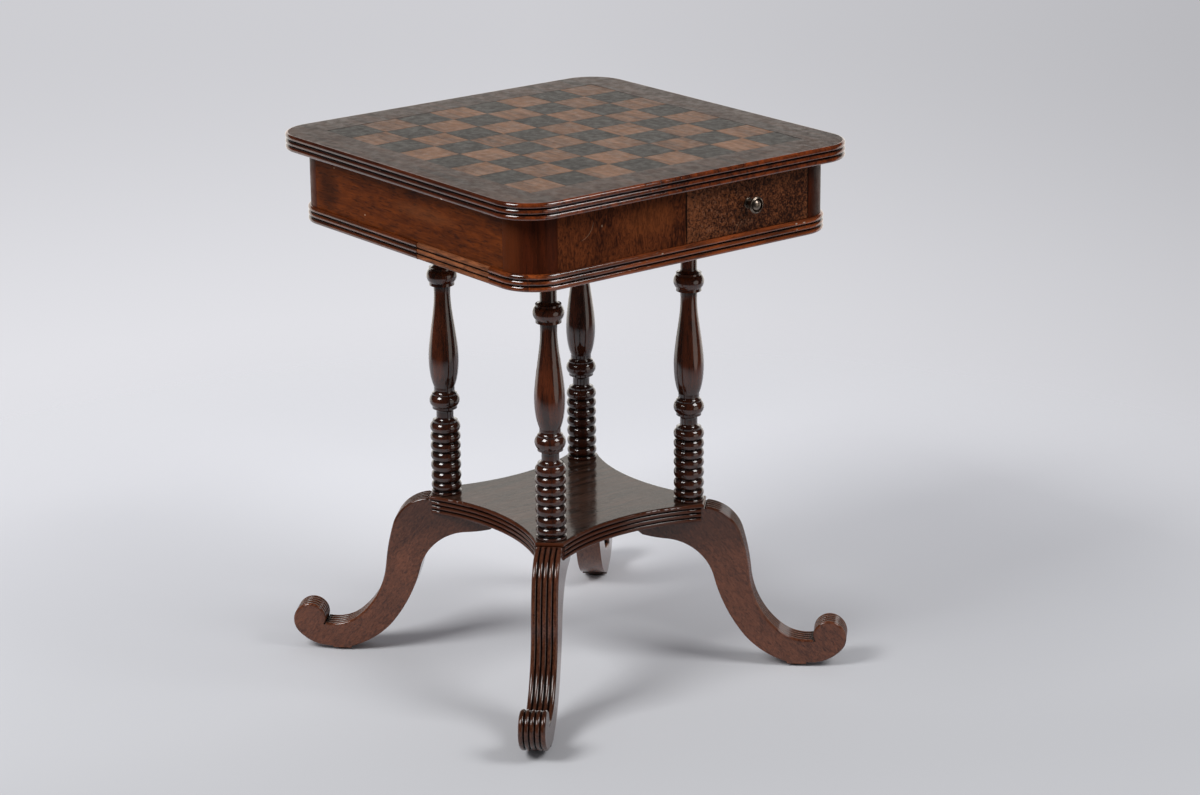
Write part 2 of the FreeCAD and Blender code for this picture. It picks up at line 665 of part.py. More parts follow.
def make_inside():
    """Partition, drawer guides, stops, and the cleats and screws that hold the top."""
    export("centre_partition", box((-PARTITION_HALF, -INNER_HALF, FRIEZE_Z),
                                   (PARTITION_HALF, INNER_HALF, TOP_Z)))
    guide = box((POST_CENTRE, -POST_CENTRE, FRIEZE_Z),
                (INNER_HALF, POST_CENTRE, FRIEZE_Z + GUIDE_HEIGHT))
    middle = (POST_CENTRE - PANEL_END) / 2
    stop = box((middle - STOP_LENGTH / 2, INNER_HALF - STOP_DEPTH, FRIEZE_Z),
               (middle + STOP_LENGTH / 2, INNER_HALF, FRIEZE_Z + STOP_HEIGHT))
    export("drawer_stops", stop, turned(stop, 180))
    cleat_half = POST_CENTRE - CLEAT_END_GAP
    cleat = box((INNER_HALF - CLEAT_SIZE, -cleat_half, TOP_Z - CLEAT_SIZE), (INNER_HALF, cleat_half, TOP_Z))
    pitch = 2 * (cleat_half - CLEAT_SCREW_END) / (CLEAT_SCREWS - 1)
    places = [(INNER_HALF - CLEAT_SIZE / 2, (row - (CLEAT_SCREWS - 1) / 2) * pitch, TOP_Z - CLEAT_SIZE)
              for row in range(CLEAT_SCREWS)]
    screw_length = CLEAT_SIZE + SCREW_BITE
    holes = [moved(screw_hole(screw_length), *place) for place in places]
    screws = [moved(screw(screw_length), *place) for place in places]
    cleat = cleat.cut(holes)
    for name, angle in (("right", 0), ("left", 180)):
        export("drawer_guide_" + name, turned(guide, angle))
        export("top_cleat_" + name, turned(cleat, angle))
    export("top_screws", *(screws + [turned(one, 180) for one in screws]))
    return holes + [turned(one, 180) for one in holes]


# ---- Top and chessboard
def make_top(screw_holes):
    """Top with reeded edge, and the squares of the board let into it."""
    outline = rounded_square(TOP_SIZE / 2, TOP_CORNER_RADIUS)
    slab = reeded_plate(outline, TOP_Z, TOP_THICKNESS, TOP_REEDS)
    board_half = SQUARES_A_SIDE * SQUARE / 2
    recess_half = board_half + GLUE_LINE
    recess = box((-recess_half, -recess_half, TABLE_HEIGHT - INLAY_THICKNESS),
                 (recess_half, recess_half, TABLE_HEIGHT + CUT))
    export("top_panel", slab.cut([recess] + screw_holes))
    squares = ([], [])
    for column_index in range(SQUARES_A_SIDE):
        for row in range(SQUARES_A_SIDE):
            x = column_index * SQUARE - board_half
            y = row * SQUARE - board_half
            low = (x + GLUE_LINE / 2, y + GLUE_LINE / 2, TABLE_HEIGHT - INLAY_THICKNESS)
            high = (x + SQUARE - GLUE_LINE / 2, y + SQUARE - GLUE_LINE / 2, TABLE_HEIGHT)
            squares[(column_index + row) % 2].append(box(low, high))
    export("board_light_squares", *squares[0])
    export("board_dark_squares", *squares[1])


# ---- Drawers
def dovetails(x_low, x_high, root, tip, bottom, top):
    """Row of tails on the end of a drawer side, widening from root to tip along Y."""
    pitch = (top - bottom) / DOVETAIL_COUNT
    flare = abs(tip - root) * DOVETAIL_SLOPE
    tails = []
    for index in range(DOVETAIL_COUNT):
        centre = bottom + (index + 0.5) * pitch
        wide = DOVETAIL_WIDTH / 2
        narrow = wide - flare
        points = [Vector(x_low, root, centre - narrow), Vector(x_low, tip, centre - wide),
                  Vector(x_low, tip, centre + wide), Vector(x_low, root, centre + narrow)]
        face = Part.Face(Part.makePolygon(points + points[:1]))
        tails.append(face.extrude(Vector(x_high - x_low, 0, 0)))
    return tails


def knob(face_y, through):
    """Drawer knob with its threaded shank, pointing up the axis, then laid towards -Y."""
    turning = Turning(-through)
    turning.shoulder(KNOB_SHANK_RADIUS)
    turning.rise(through)
    turning.shoulder(KNOB_COLLAR_RADIUS)
    turning.bead(KNOB_COLLAR_HEIGHT, KNOB_COLLAR_SWELL)
    turning.shoulder(KNOB_STEM_RADIUS)
    turning.rise(KNOB_STEM_HEIGHT)
    turning.cove(KNOB_CUP_HEIGHT, KNOB_RIM_RADIUS)
    turning.bead(KNOB_RIM_HEIGHT, KNOB_RIM_SWELL)
    turning.line(KNOB_RIM_RADIUS - KNOB_LIP_WIDTH, KNOB_LIP_RISE)
    turning.line(turning.point.x - KNOB_RECESS_WIDTH, -KNOB_RECESS_DEPTH)
    turning.dome(KNOB_DOME_HEIGHT)
    shape = turning.solid()
    shape.rotate(CENTRE, Vector(1, 0, 0), 90)
    return moved(shape, 0, face_y, 0)


def knob_nut(washer_y):
    """Square nut on the shank, inside the drawer."""
    across = KNOB_NUT_RADIUS * 2
    corner = Vector(-KNOB_NUT_RADIUS, washer_y, -KNOB_NUT_RADIUS)
    block = Part.makeBox(across, KNOB_NUT_HEIGHT, across, corner)
    bore = Part.makeCylinder(KNOB_SHANK_RADIUS + SCREW_GAP, KNOB_NUT_HEIGHT + 2 * CUT,
                             Vector(0, washer_y - CUT, 0), Vector(0, 1, 0))
    return block.cut(bore)


def drawer_pieces():
    """The front drawer as (name, solid) pairs; it runs between the partition and the right guide."""
    left, right = PARTITION_HALF + DRAWER_SIDE_GAP, POST_CENTRE - DRAWER_SIDE_GAP
    face_left = -PANEL_END + DRAWER_SIDE_GAP
    low = FRIEZE_Z + DRAWER_RUNNING_GAP
    top = TOP_Z - DRAWER_TOP_GAP
    front_back = -INNER_HALF - DRAWER_RUNNING_GAP
    box_end = INNER_HALF - STOP_DEPTH - DRAWER_RUNNING_GAP
    back_face = box_end - DRAWER_SIDE_THICKNESS
    bottom_low = low + DRAWER_BOTTOM_LIFT
    bottom_top = bottom_low + DRAWER_BOTTOM_THICKNESS
    inner_left, inner_right = left + DRAWER_SIDE_THICKNESS, right - DRAWER_SIDE_THICKNESS

    bottom = box((inner_left - DRAWER_GROOVE, front_back - DRAWER_GROOVE, bottom_low),
                 (inner_right + DRAWER_GROOVE, box_end, bottom_top))
    sides = []
    tails = []
    for x_low, x_high in ((left, inner_left), (inner_right, right)):
        front_tails = dovetails(x_low, x_high, front_back, front_back - DOVETAIL_LAP, low, top)
        back_tails = dovetails(x_low, x_high, back_face, box_end, bottom_top, top)
        board = box((x_low, front_back, low), (x_high, back_face, top))
        toe = box((x_low, back_face, low), (x_high, box_end, bottom_top))
        sides.append(joined([board, toe] + front_tails + back_tails).cut(bottom))
        tails += front_tails + back_tails
    face = box((face_left, -GROUND_FACE, FRIEZE_Z + DRAWER_SIDE_GAP),
               (right, front_back, TOP_Z - DRAWER_SIDE_GAP))
    sheet = box((face_left, -FRIEZE_HALF, FRIEZE_Z + DRAWER_SIDE_GAP),
                (right, -GROUND_FACE, TOP_Z - DRAWER_SIDE_GAP))
    back = box((left, back_face, bottom_top), (right, box_end, top))
    knob_x = (face_left + right) / 2
    knob_z = (FRIEZE_Z + TOP_Z) / 2
    bore = Part.makeCylinder(KNOB_SHANK_RADIUS + SCREW_GAP, RAIL_THICKNESS + 2 * CUT,
                             Vector(knob_x, -FRIEZE_HALF - CUT, knob_z), Vector(0, 1, 0))
    through = FRIEZE_HALF + front_back + KNOB_NUT_HEIGHT + CUT
    return (("face", face.cut(tails + [bottom, bore])),
            ("veneer", sheet.cut(bore)),
            ("side_left", sides[0]),
            ("side_right", sides[1]),
            ("back", back.cut(tails)),
            ("bottom", bottom),
            ("knob", moved(knob(-FRIEZE_HALF, through), knob_x, 0, knob_z)),
            ("knob_nut", moved(knob_nut(front_back), knob_x, 0, knob_z)))


def make_drawers():
    """Front drawer, and the same drawer turned about the axis for the rear."""
    for name, piece in drawer_pieces():
        export("front_drawer_" + name, piece)
        export("rear_drawer_" + name, turned(piece, 180))


os.makedirs("parts", exist_ok=True)
make_legs()
make_platform()
make_columns()
make_bottom_board()
make_moulding()
make_frieze()
make_top(make_inside())
make_drawers()
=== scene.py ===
"""Looks of the square chess table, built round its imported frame.

Lengths are in metres, unless a name ends in _mm. The origin is on the floor under the centre of
the table, +Z is up and the front drawer opens towards -Y.
"""
from __future__ import annotations

import json
import logging
import math
from dataclasses import dataclass, field
from enum import Enum

import bmesh
import bpy
from mathutils import Matrix, Vector

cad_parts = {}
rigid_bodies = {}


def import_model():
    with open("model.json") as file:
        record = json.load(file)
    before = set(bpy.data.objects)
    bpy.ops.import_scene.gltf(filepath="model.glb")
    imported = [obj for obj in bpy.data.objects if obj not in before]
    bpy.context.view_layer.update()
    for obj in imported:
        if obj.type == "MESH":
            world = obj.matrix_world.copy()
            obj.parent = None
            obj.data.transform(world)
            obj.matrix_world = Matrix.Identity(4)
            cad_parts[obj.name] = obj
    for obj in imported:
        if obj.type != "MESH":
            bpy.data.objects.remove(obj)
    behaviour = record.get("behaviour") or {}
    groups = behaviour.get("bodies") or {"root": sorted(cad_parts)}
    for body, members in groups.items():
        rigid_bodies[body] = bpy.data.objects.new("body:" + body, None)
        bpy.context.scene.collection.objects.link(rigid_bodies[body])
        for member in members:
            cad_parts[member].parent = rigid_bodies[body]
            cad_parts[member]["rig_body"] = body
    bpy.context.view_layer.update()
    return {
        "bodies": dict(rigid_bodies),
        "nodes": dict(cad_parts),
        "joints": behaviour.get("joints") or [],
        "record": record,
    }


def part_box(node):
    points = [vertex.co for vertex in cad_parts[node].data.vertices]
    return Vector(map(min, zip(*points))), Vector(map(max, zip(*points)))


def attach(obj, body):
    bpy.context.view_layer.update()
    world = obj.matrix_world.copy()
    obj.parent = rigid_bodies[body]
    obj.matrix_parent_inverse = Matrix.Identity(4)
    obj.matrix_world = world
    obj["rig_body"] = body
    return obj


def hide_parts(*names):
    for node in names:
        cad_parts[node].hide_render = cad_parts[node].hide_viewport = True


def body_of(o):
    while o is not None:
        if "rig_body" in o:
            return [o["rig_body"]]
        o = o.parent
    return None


LOG = logging.getLogger("chess_table")
MM = 0.001
HOLLOW_RAYS = 6  # rays that feel for a hollow round a point
PALE_NICK = "#c9b5a0"
LEFT_REED_SHADE = "#220903"  # painted shade on the reeds of the left side, darker than those of the front
CORNER_ANGLES = {"front_right": -45.0, "rear_right": 45.0, "rear_left": 135.0, "front_left": -135.0}
Pair = tuple[float, float]
Triple = tuple[float, float, float]
Socket = bpy.types.NodeSocket
ALONG_X: Triple = (1.0, 0.0, 0.0)
ALONG_Y: Triple = (0.0, 1.0, 0.0)
UPRIGHT: Triple = (0.0, 0.0, 1.0)


# ---- Small helpers
def linear(colour: str) -> tuple[float, float, float, float]:
    """Turn an sRGB hex colour into linear values.

    Args:
        colour: the colour, such as "#6b3d24".

    Returns:
        Red, green, blue and a full alpha.
    """
    shares = [int(colour[start:start + 2], 16) / 255 for start in (1, 3, 5)]
    values = [share / 12.92 if share <= 0.04045 else ((share + 0.055) / 1.055) ** 2.4 for share in shares]
    return (*values, 1.0)


def per_metre(size_mm: float) -> float:
    """Return the texture scale that repeats a pattern once in this many millimetres."""
    return 1.0 / (size_mm * MM)


def add_node(tree: bpy.types.NodeTree, kind: str, inputs: dict | None = None, output: int | str = 0,
             **settings: object) -> Socket | None:
    """Add a node to a tree, with its settings, its input values and its links.

    A Mix node has its factor at input 0 and a pair of inputs for each type: 2 and 3 for numbers with
    output 0, 4 and 5 for vectors with output 1, 6 and 7 for colours with output 2.

    Args:
        tree: the shader or geometry tree.
        kind: the node's type name.
        inputs: input name or number, and the value, the socket or the list of sockets that feeds it.
        output: name or number of the output that is wanted.
        settings: the node's own attributes.

    Returns:
        That output, or None for a node that has no outputs.
    """
    node = tree.nodes.new(kind)
    for name, value in settings.items():
        setattr(node, name, value)
    for key, value in (inputs or {}).items():
        for source in value if isinstance(value, list) else [value]:
            if isinstance(source, Socket):
                tree.links.new(source, node.inputs[key])
            else:
                node.inputs[key].default_value = source
    return node.outputs[output] if node.outputs else None


def new_material(name: str) -> bpy.types.Material:
    """Start a material with an empty tree.

    Args:
        name: the material's name.

    Returns:
        The material.
    """
    material = bpy.data.materials.new(name)
    material.use_nodes = True
    material.node_tree.nodes.clear()
    return material


def put(name: str, data: bpy.types.ID) -> bpy.types.Object:
    """Put a mesh, a lamp or a camera into the scene as an object of its own.

    Args:
        name: the object's name.
        data: the mesh, the lamp or the camera.

    Returns:
        The object, at the origin.
    """
    holder = bpy.data.objects.new(name, data)
    bpy.context.collection.objects.link(holder)
    return holder


def smooth(mesh: bpy.types.Mesh, sharp_degrees: float) -> None:
    """Shade a mesh smooth, but for the edges that turn by more than an angle."""
    mesh.shade_smooth()
    mesh.set_sharp_from_angle(angle=math.radians(sharp_degrees))


# ---- Marks of age
@dataclass(frozen=True)
class Mark:
    """A local change of a finish's colour. Each kind of mark says where it lies."""

    colour: str
    strength: float

    def amount(self, tree: bpy.types.NodeTree, spot: Socket) -> Socket:
        """Return how much of the mark lies at a spot.

        Args:
            tree: the material's tree.
            spot: the piece's own coordinates.

        Returns:
            0 outside the mark, 1 well inside it.
        """
        raise NotImplementedError


@dataclass(frozen=True)
class Scratch(Mark):
    """A thin scratch along an arc, which fades towards both its ends."""

    centre_mm: Triple
    radius_mm: float
    towards: Triple  # from the centre to the middle of the arc
    spread: float  # degrees to each side of that
    width_mm: float = 0.9
    falloff: float = 0.5  # power of its fading, which below 1 keeps it strong for longer

    def amount(self, tree: bpy.types.NodeTree, spot: Socket) -> Socket:
        """Return how much of the scratch lies at a spot.

        Args:
            tree: the material's tree.
            spot: the piece's own coordinates.

        Returns:
            0 beside the scratch, 1 at the middle of its arc.
        """
        offset = add_node(tree, "ShaderNodeVectorMath", {0: spot, 1: Vector(self.centre_mm) * MM},
                          operation="SUBTRACT")
        distance = add_node(tree, "ShaderNodeVectorMath", {0: offset}, "Value", operation="LENGTH")
        on_arc = add_node(tree, "ShaderNodeMath", {
            0: distance, 1: self.radius_mm * MM, 2: 0.5 * self.width_mm * MM}, operation="COMPARE")
        way = add_node(tree, "ShaderNodeVectorMath", {0: offset}, operation="NORMALIZE")
        facing = add_node(tree, "ShaderNodeVectorMath", {0: way, 1: Vector(self.towards).normalized()},
                          "Value", operation="DOT_PRODUCT")
        near = add_node(tree, "ShaderNodeMapRange", {
            "Value": facing, "From Min": math.cos(math.radians(self.spread)), "From Max": 1.0})
        faded = add_node(tree, "ShaderNodeMath", {0: near, 1: self.falloff}, operation="POWER")
        return add_node(tree, "ShaderNodeMath", {0: on_arc, 1: faded}, operation="MULTIPLY")


@dataclass(frozen=True)
class Oval(Mark):
    """A soft oval: a nick, a stain, a part of another tone, a patch of specks, or painted shade."""

    centre_mm: Triple
    reach_mm: Triple
    speck_mm: float = 0.0
    fade: Pair = (1.0, 0.3)  # shares of the reach between which the oval grows full
    speck_levels: Pair = (0.6, 0.7)  # noise between which a speck shows

    def amount(self, tree: bpy.types.NodeTree, spot: Socket) -> Socket:
        """Return how much of the oval, or of its specks, lies at a spot.

        Args:
            tree: the material's tree.
            spot: the piece's own coordinates.

        Returns:
            0 outside the oval and between its specks, 1 well inside.
        """
        offset = add_node(tree, "ShaderNodeVectorMath", {0: spot, 1: Vector(self.centre_mm) * MM},
                          operation="SUBTRACT")
        shares = add_node(tree, "ShaderNodeVectorMath", {0: offset, 1: Vector(self.reach_mm) * MM},
                          operation="DIVIDE")
        distance = add_node(tree, "ShaderNodeVectorMath", {0: shares}, "Value", operation="LENGTH")
        inside = add_node(tree, "ShaderNodeMapRange", {
            "Value": distance, "From Min": self.fade[0], "From Max": self.fade[1]},
            interpolation_type="SMOOTHSTEP")
        if not self.speck_mm:
            return inside
        noise = add_node(tree, "ShaderNodeTexNoise", {
            "Vector": spot, "Scale": per_metre(self.speck_mm), "Detail": 1.0})
        speck = add_node(tree, "ShaderNodeMapRange", {
            "Value": noise, "From Min": self.speck_levels[0], "From Max": self.speck_levels[1]})
        return add_node(tree, "ShaderNodeMath", {0: inside, 1: speck}, operation="MULTIPLY")


@dataclass(frozen=True)
class Skirt(Mark):
    """Another tone below a level: a stain on the platform's reeds, painted shade on the columns' rings."""

    level_mm: float
    blend_mm: float = 0.6

    def amount(self, tree: bpy.types.NodeTree, spot: Socket) -> Socket:
        """Return how much of the tone lies at a spot.

        Args:
            tree: the material's tree.
            spot: the piece's own coordinates.

        Returns:
            0 above the level, 1 once the tone is fully blended in below it.
        """
        height = add_node(tree, "ShaderNodeSeparateXYZ", {0: spot}, "Z")
        return add_node(tree, "ShaderNodeMapRange", {
            "Value": height, "From Min": self.level_mm * MM,
            "From Max": (self.level_mm - self.blend_mm) * MM})


def nicks(colour: str, *places: tuple[Triple, Triple]) -> tuple[Oval, ...]:
    """Return small dents that show paler wood, each with its centre and its reach in millimetres."""
    return tuple(Oval(colour, 0.8, centre, reach) for centre, reach in places)


def gap_shade_line(x_mm: float, half_width_mm: float = 1.8) -> Oval:
    """Return painted shade along an upright gap of the front, at an edge of the drawer."""
    return Oval("#0d0604", 0.9, (x_mm, -251.0, 666.0), (half_width_mm, 3.0, 60.0))


# ---- Kinds of finish
class Figure(Enum):
    """Figure of a wood: how far its bands and its fibres are drawn out, and how much the bands curl."""

    STRAIGHT = (9.0, 22.0, 0.9)
    STREAKED = (4.5, 12.0, 1.0)
    FLECKED = (2.4, 4.0, 1.6)
    BURR = (1.0, 1.5, 2.6)


@dataclass(frozen=True)
class Wood:
    """A stained wood under wax or shellac, drawn as bands of growth, fibres and open pores.

    The pores of the real woods are 0.1 to 0.2 mm wide. They are drawn wider, so that they show.
    """

    name: str
    dark: str
    light: str
    figure: Figure = Figure.STRAIGHT
    band_mm: float = 11.0
    fibre_mm: float = 1.1
    pore_mm: float = 0.8
    cloud_mm: float = 90.0  # large soft changes of tone
    shares: Triple = (0.5, 0.25, 0.25)  # of bands, fibres and clouds in the tone
    pores: float = 0.5
    pore_colour: str = "#160b07"
    pore_levels: Pair = (0.58, 0.68)  # noise between which a pore opens
    pore_depth: float = 0.8  # of a pore, as a share of the relief
    contrast: float = 1.0
    tone_spread: float = 0.1  # of the noise to each side of its middle, at a contrast of 1
    relief_mm: float = 0.12
    relief_strength: float = 0.5
    ior: float = 1.5
    roughness: float = 0.42
    specular: float = 0.25
    polish: float = 0.35
    polish_roughness: float = 0.16
    polish_ior: float = 1.52
    ripple_mm: float = 9.0  # unevenness that a hand leaves in the polish
    ripple_depth_mm: float = 0.25
    ripple_strength: float = 0.35
    ripple_levels: Pair = (0.3, 0.7)  # noise between which the ripples change the roughness
    ripple_dulling: Pair = (-0.06, 0.08)  # what they add to it at those levels
    wax_and_shade_mm: float = 0.0  # width of the hollows that old wax and painted shade darken
    wax_and_shade_colour: str = "#0a0504"
    wax_and_shade_levels: Pair = (0.72, 1.0)  # openness between which the wax and painted shade thin out
    tiled: bool = False
    marks: tuple[Mark, ...] = ()

    def material(self, grain: Triple) -> bpy.types.Material:
        """Return the material for pieces whose grain runs in a direction.

        Args:
            grain: the direction of the fibres.

        Returns:
            The material, made once for each direction.
        """
        label = "%s_%s" % (self.name, "_".join("%+03d" % round(10 * part) for part in grain))
        return bpy.data.materials.get(label) or self._make(label, grain)

    def _make(self, label: str, grain: Triple) -> bpy.types.Material:
        """Build the material and its shader tree.

        Args:
            label: the material's name.
            grain: the direction of the fibres.

        Returns:
            The material.
        """
        material = new_material(label)
        tree = material.node_tree
        place = self._place(tree, grain)
        tone, pores = self._tone(tree, place)
        height = add_node(tree, "ShaderNodeMath", {0: pores, 1: -self.pore_depth, 2: tone},
                          operation="MULTIPLY_ADD")
        bump = add_node(tree, "ShaderNodeBump", {
            "Strength": self.relief_strength, "Distance": self.relief_mm * MM, "Height": height})
        ripple = add_node(tree, "ShaderNodeTexNoise", {
            "Vector": place, "Scale": per_metre(self.ripple_mm), "Detail": 2.0})
        film = add_node(tree, "ShaderNodeBump", {
            "Strength": self.ripple_strength, "Distance": self.ripple_depth_mm * MM, "Height": ripple})
        rough = add_node(tree, "ShaderNodeMapRange", {
            "Value": ripple, "From Min": self.ripple_levels[0], "From Max": self.ripple_levels[1],
            "To Min": self.roughness + self.ripple_dulling[0],
            "To Max": self.roughness + self.ripple_dulling[1]})
        shader = add_node(tree, "ShaderNodeBsdfPrincipled", {
            "Base Color": self._colour(tree, tone, pores), "Roughness": rough, "Normal": bump,
            "IOR": self.ior, "Specular IOR Level": self.specular, "Coat Weight": self.polish,
            "Coat Roughness": self.polish_roughness, "Coat IOR": self.polish_ior, "Coat Normal": film})
        add_node(tree, "ShaderNodeOutputMaterial", {"Surface": shader})
        return material

    def _place(self, tree: bpy.types.NodeTree, grain: Triple) -> Socket:
        """Lay coordinates along the grain.

        Args:
            tree: the material's tree.
            grain: the direction of the fibres.

        Returns:
            The piece's own coordinates, turned so that X runs along the grain.
        """
        place = add_node(tree, "ShaderNodeTexCoord", output="Object")
        if self.tiled:
            tile = add_node(tree, "ShaderNodeAttribute", output="Vector", attribute_name="tile")
            place = add_node(tree, "ShaderNodeVectorMath", {0: tile, 1: place}, operation="ADD")
        turn = Vector(grain).rotation_difference(Vector(ALONG_X)).to_euler()
        return add_node(tree, "ShaderNodeMapping", {"Vector": place, "Rotation": turn})

    def _tone(self, tree: bpy.types.NodeTree, place: Socket) -> tuple[Socket, Socket]:
        """Draw the figure from noises of four sizes, each drawn out along the grain.

        Args:
            tree: the material's tree.
            place: coordinates along the grain.

        Returns:
            The tone between the dark and the light colour, and the amount of pore.
        """
        band_stretch, fibre_stretch, curl = self.figure.value
        layers = []
        for size_mm, stretch, detail, distortion in (
                (self.band_mm, band_stretch, 4.0, curl), (self.fibre_mm, fibre_stretch, 2.0, 0.3),
                (self.cloud_mm, 2.0, 2.0, 0.3), (self.pore_mm, 0.5 * fibre_stretch, 1.0, 0.0)):
            drawn = add_node(tree, "ShaderNodeVectorMath", {0: place, 1: (1.0 / stretch, 1.0, 1.0)},
                             operation="MULTIPLY")
            layers.append(add_node(tree, "ShaderNodeTexNoise", {
                "Vector": drawn, "Scale": per_metre(size_mm), "Detail": detail, "Distortion": distortion}))
        pore = layers.pop()
        mixed = 0.0
        for layer, share in zip(layers, self.shares):
            mixed = add_node(tree, "ShaderNodeMath", {0: layer, 1: share, 2: mixed}, operation="MULTIPLY_ADD")
        spread = self.tone_spread / self.contrast
        tone = add_node(tree, "ShaderNodeMapRange", {
            "Value": mixed, "From Min": 0.5 - spread, "From Max": 0.5 + spread})
        pores = add_node(tree, "ShaderNodeMapRange", {
            "Value": pore, "From Min": self.pore_levels[0], "From Max": self.pore_levels[1]})
        return tone, pores

    def _colour(self, tree: bpy.types.NodeTree, tone: Socket, pores: Socket) -> Socket:
        """Lay stain, pores, marks, and old wax with painted shade in the hollows, over each other.

        Args:
            tree: the material's tree.
            tone: the share of the light colour.
            pores: the amount of pore.

        Returns:
            The colour of the wood.
        """
        filled = add_node(tree, "ShaderNodeMath", {0: pores, 1: self.pores}, operation="MULTIPLY")
        layers = [(tone, self.light), (filled, self.pore_colour)]
        spot = add_node(tree, "ShaderNodeTexCoord", output="Object")
        for mark in self.marks:
            amount = add_node(tree, "ShaderNodeMath", {0: mark.amount(tree, spot), 1: mark.strength},
                              operation="MULTIPLY")
            layers.append((amount, mark.colour))
        # old wax and painted shade: darker where ambient occlusion finds a hollow
        if self.wax_and_shade_mm:
            openness = add_node(tree, "ShaderNodeAmbientOcclusion", {"Distance": self.wax_and_shade_mm * MM}, "AO",
                                samples=HOLLOW_RAYS, only_local=True)
            wax_and_shade = add_node(tree, "ShaderNodeMapRange", {
                "Value": openness, "From Min": self.wax_and_shade_levels[0], "From Max": self.wax_and_shade_levels[1],
                "To Min": 1.0, "To Max": 0.0})
            layers.append((wax_and_shade, self.wax_and_shade_colour))
        colour = linear(self.dark)
        for amount, over in layers:
            colour = add_node(tree, "ShaderNodeMix", {0: amount, 6: colour, 7: linear(over)}, 2,
                              data_type="RGBA")
        return colour


@dataclass(frozen=True)
class Metal:
    """A turned metal that has tarnished in its hollows."""

    name: str
    bright: str
    tarnish: str
    roughness: float
    dulled: float = 0.3  # roughness that full tarnish adds
    patch_mm: float = 3.0
    hollow_mm: float = 4.0
    worn_levels: Pair = (0.15, 0.6)  # wear between which the metal turns bright
    relief_mm: float = 0.1
    relief_strength: float = 0.2

    def material(self, grain: Triple) -> bpy.types.Material:
        """Return the material, made once.

        Args:
            grain: the direction of the piece, which changes nothing on a metal.

        Returns:
            The material.
        """
        return bpy.data.materials.get(self.name) or self._make()

    def _make(self) -> bpy.types.Material:
        """Build the material and its shader tree.

        Returns:
            The material.
        """
        material = new_material(self.name)
        tree = material.node_tree
        place = add_node(tree, "ShaderNodeTexCoord", output="Object")
        patch = add_node(tree, "ShaderNodeTexNoise", {
            "Vector": place, "Scale": per_metre(self.patch_mm), "Detail": 4.0})
        openness = add_node(tree, "ShaderNodeAmbientOcclusion", {"Distance": self.hollow_mm * MM}, "AO",
                            samples=HOLLOW_RAYS, only_local=True)
        wear = add_node(tree, "ShaderNodeMath", {0: patch, 1: openness}, operation="MULTIPLY")
        worn = add_node(tree, "ShaderNodeMapRange", {
            "Value": wear, "From Min": self.worn_levels[0], "From Max": self.worn_levels[1]})
        colour = add_node(tree, "ShaderNodeMix", {0: worn, 6: linear(self.tarnish), 7: linear(self.bright)},
                          2, data_type="RGBA")
        rough = add_node(tree, "ShaderNodeMapRange", {
            "Value": worn, "To Min": self.roughness + self.dulled, "To Max": self.roughness})
        bump = add_node(tree, "ShaderNodeBump", {
            "Strength": self.relief_strength, "Distance": self.relief_mm * MM, "Height": patch})
        shader = add_node(tree, "ShaderNodeBsdfPrincipled", {
            "Base Color": colour, "Metallic": 1.0, "Roughness": rough, "Normal": bump})
        add_node(tree, "ShaderNodeOutputMaterial", {"Surface": shader})
        return material


# ---- Finishes
# Mahogany boards, stained dark and waxed: a dull even sheen that hides most of the red.
TOP_MAHOGANY = Wood(
    "waxed_mahogany_top", dark="#21120d", light="#462d21", roughness=0.4, specular=0.17, polish=0.0,
    wax_and_shade_mm=3.0)
# The same wood reeded and French polished: sharp bright lines along the crests, black between them from
# old wax and painted shade.
# The polish has a higher IOR than shellac's 1.52, so that those lines stand out in plain light.
TOP_EDGE_MAHOGANY = Wood(
    "polished_mahogany_reeded_edge", dark="#341306", light="#7d3713", specular=0.02, polish=1.0,
    polish_roughness=0.05, polish_ior=1.7, wax_and_shade_mm=5.5, marks=(
        # painted shade on the reeds of the left side
        Oval(LEFT_REED_SHADE, 0.7, (-277.0, 0.0, 714.0), (30.0, 420.0, 60.0)),
        *nicks(PALE_NICK, ((-275.0, 21.8, 717.1), (2.0, 2.4, 1.2)),
               ((-275.0, -110.9, 704.9), (2.0, 3.4, 1.4)), ((-275.0, -69.2, 717.5), (2.0, 2.0, 1.0)))))
# Upright mahogany, rubbed down to a satin: a plain dark red-brown without highlights.
POST_MAHOGANY = Wood(
    "polished_mahogany_post", dark="#1e0b05", light="#4f200d", band_mm=14.0, fibre_mm=2.4, contrast=0.6,
    # the Oval lightens the front left post on its side towards the left lamp: paler wood and painted light
    specular=0.04, polish=0.03, marks=(Oval("#572a13", 0.6, (-249.0, -212.0, 666.0), (20.0, 26.0, 90.0)),))
# Plain mahogany veneer: lively orange brown, drawn out along the side, with a stain at its rear end.
SIDE_VENEER = Wood(
    "polished_mahogany_veneer", dark="#321306", light="#6c3311", figure=Figure.STREAKED, band_mm=8.0,
    fibre_mm=2.2, pore_mm=1.8, cloud_mm=60.0, contrast=0.6, specular=0.03, polish=0.0, marks=(
        Oval("#1c0a04", 0.55, (-251.0, 175.0, 660.0), (5.0, 34.0, 40.0)),
        *nicks("#c9a98a", ((-251.0, 92.0, 641.2), (1.0, 1.6, 1.2)),
               ((-251.0, 160.0, 690.5), (1.0, 1.4, 1.0))),
        Oval("#7d4a2b", 0.22, (-251.0, -40.0, 668.0), (5.0, 90.0, 14.0))))
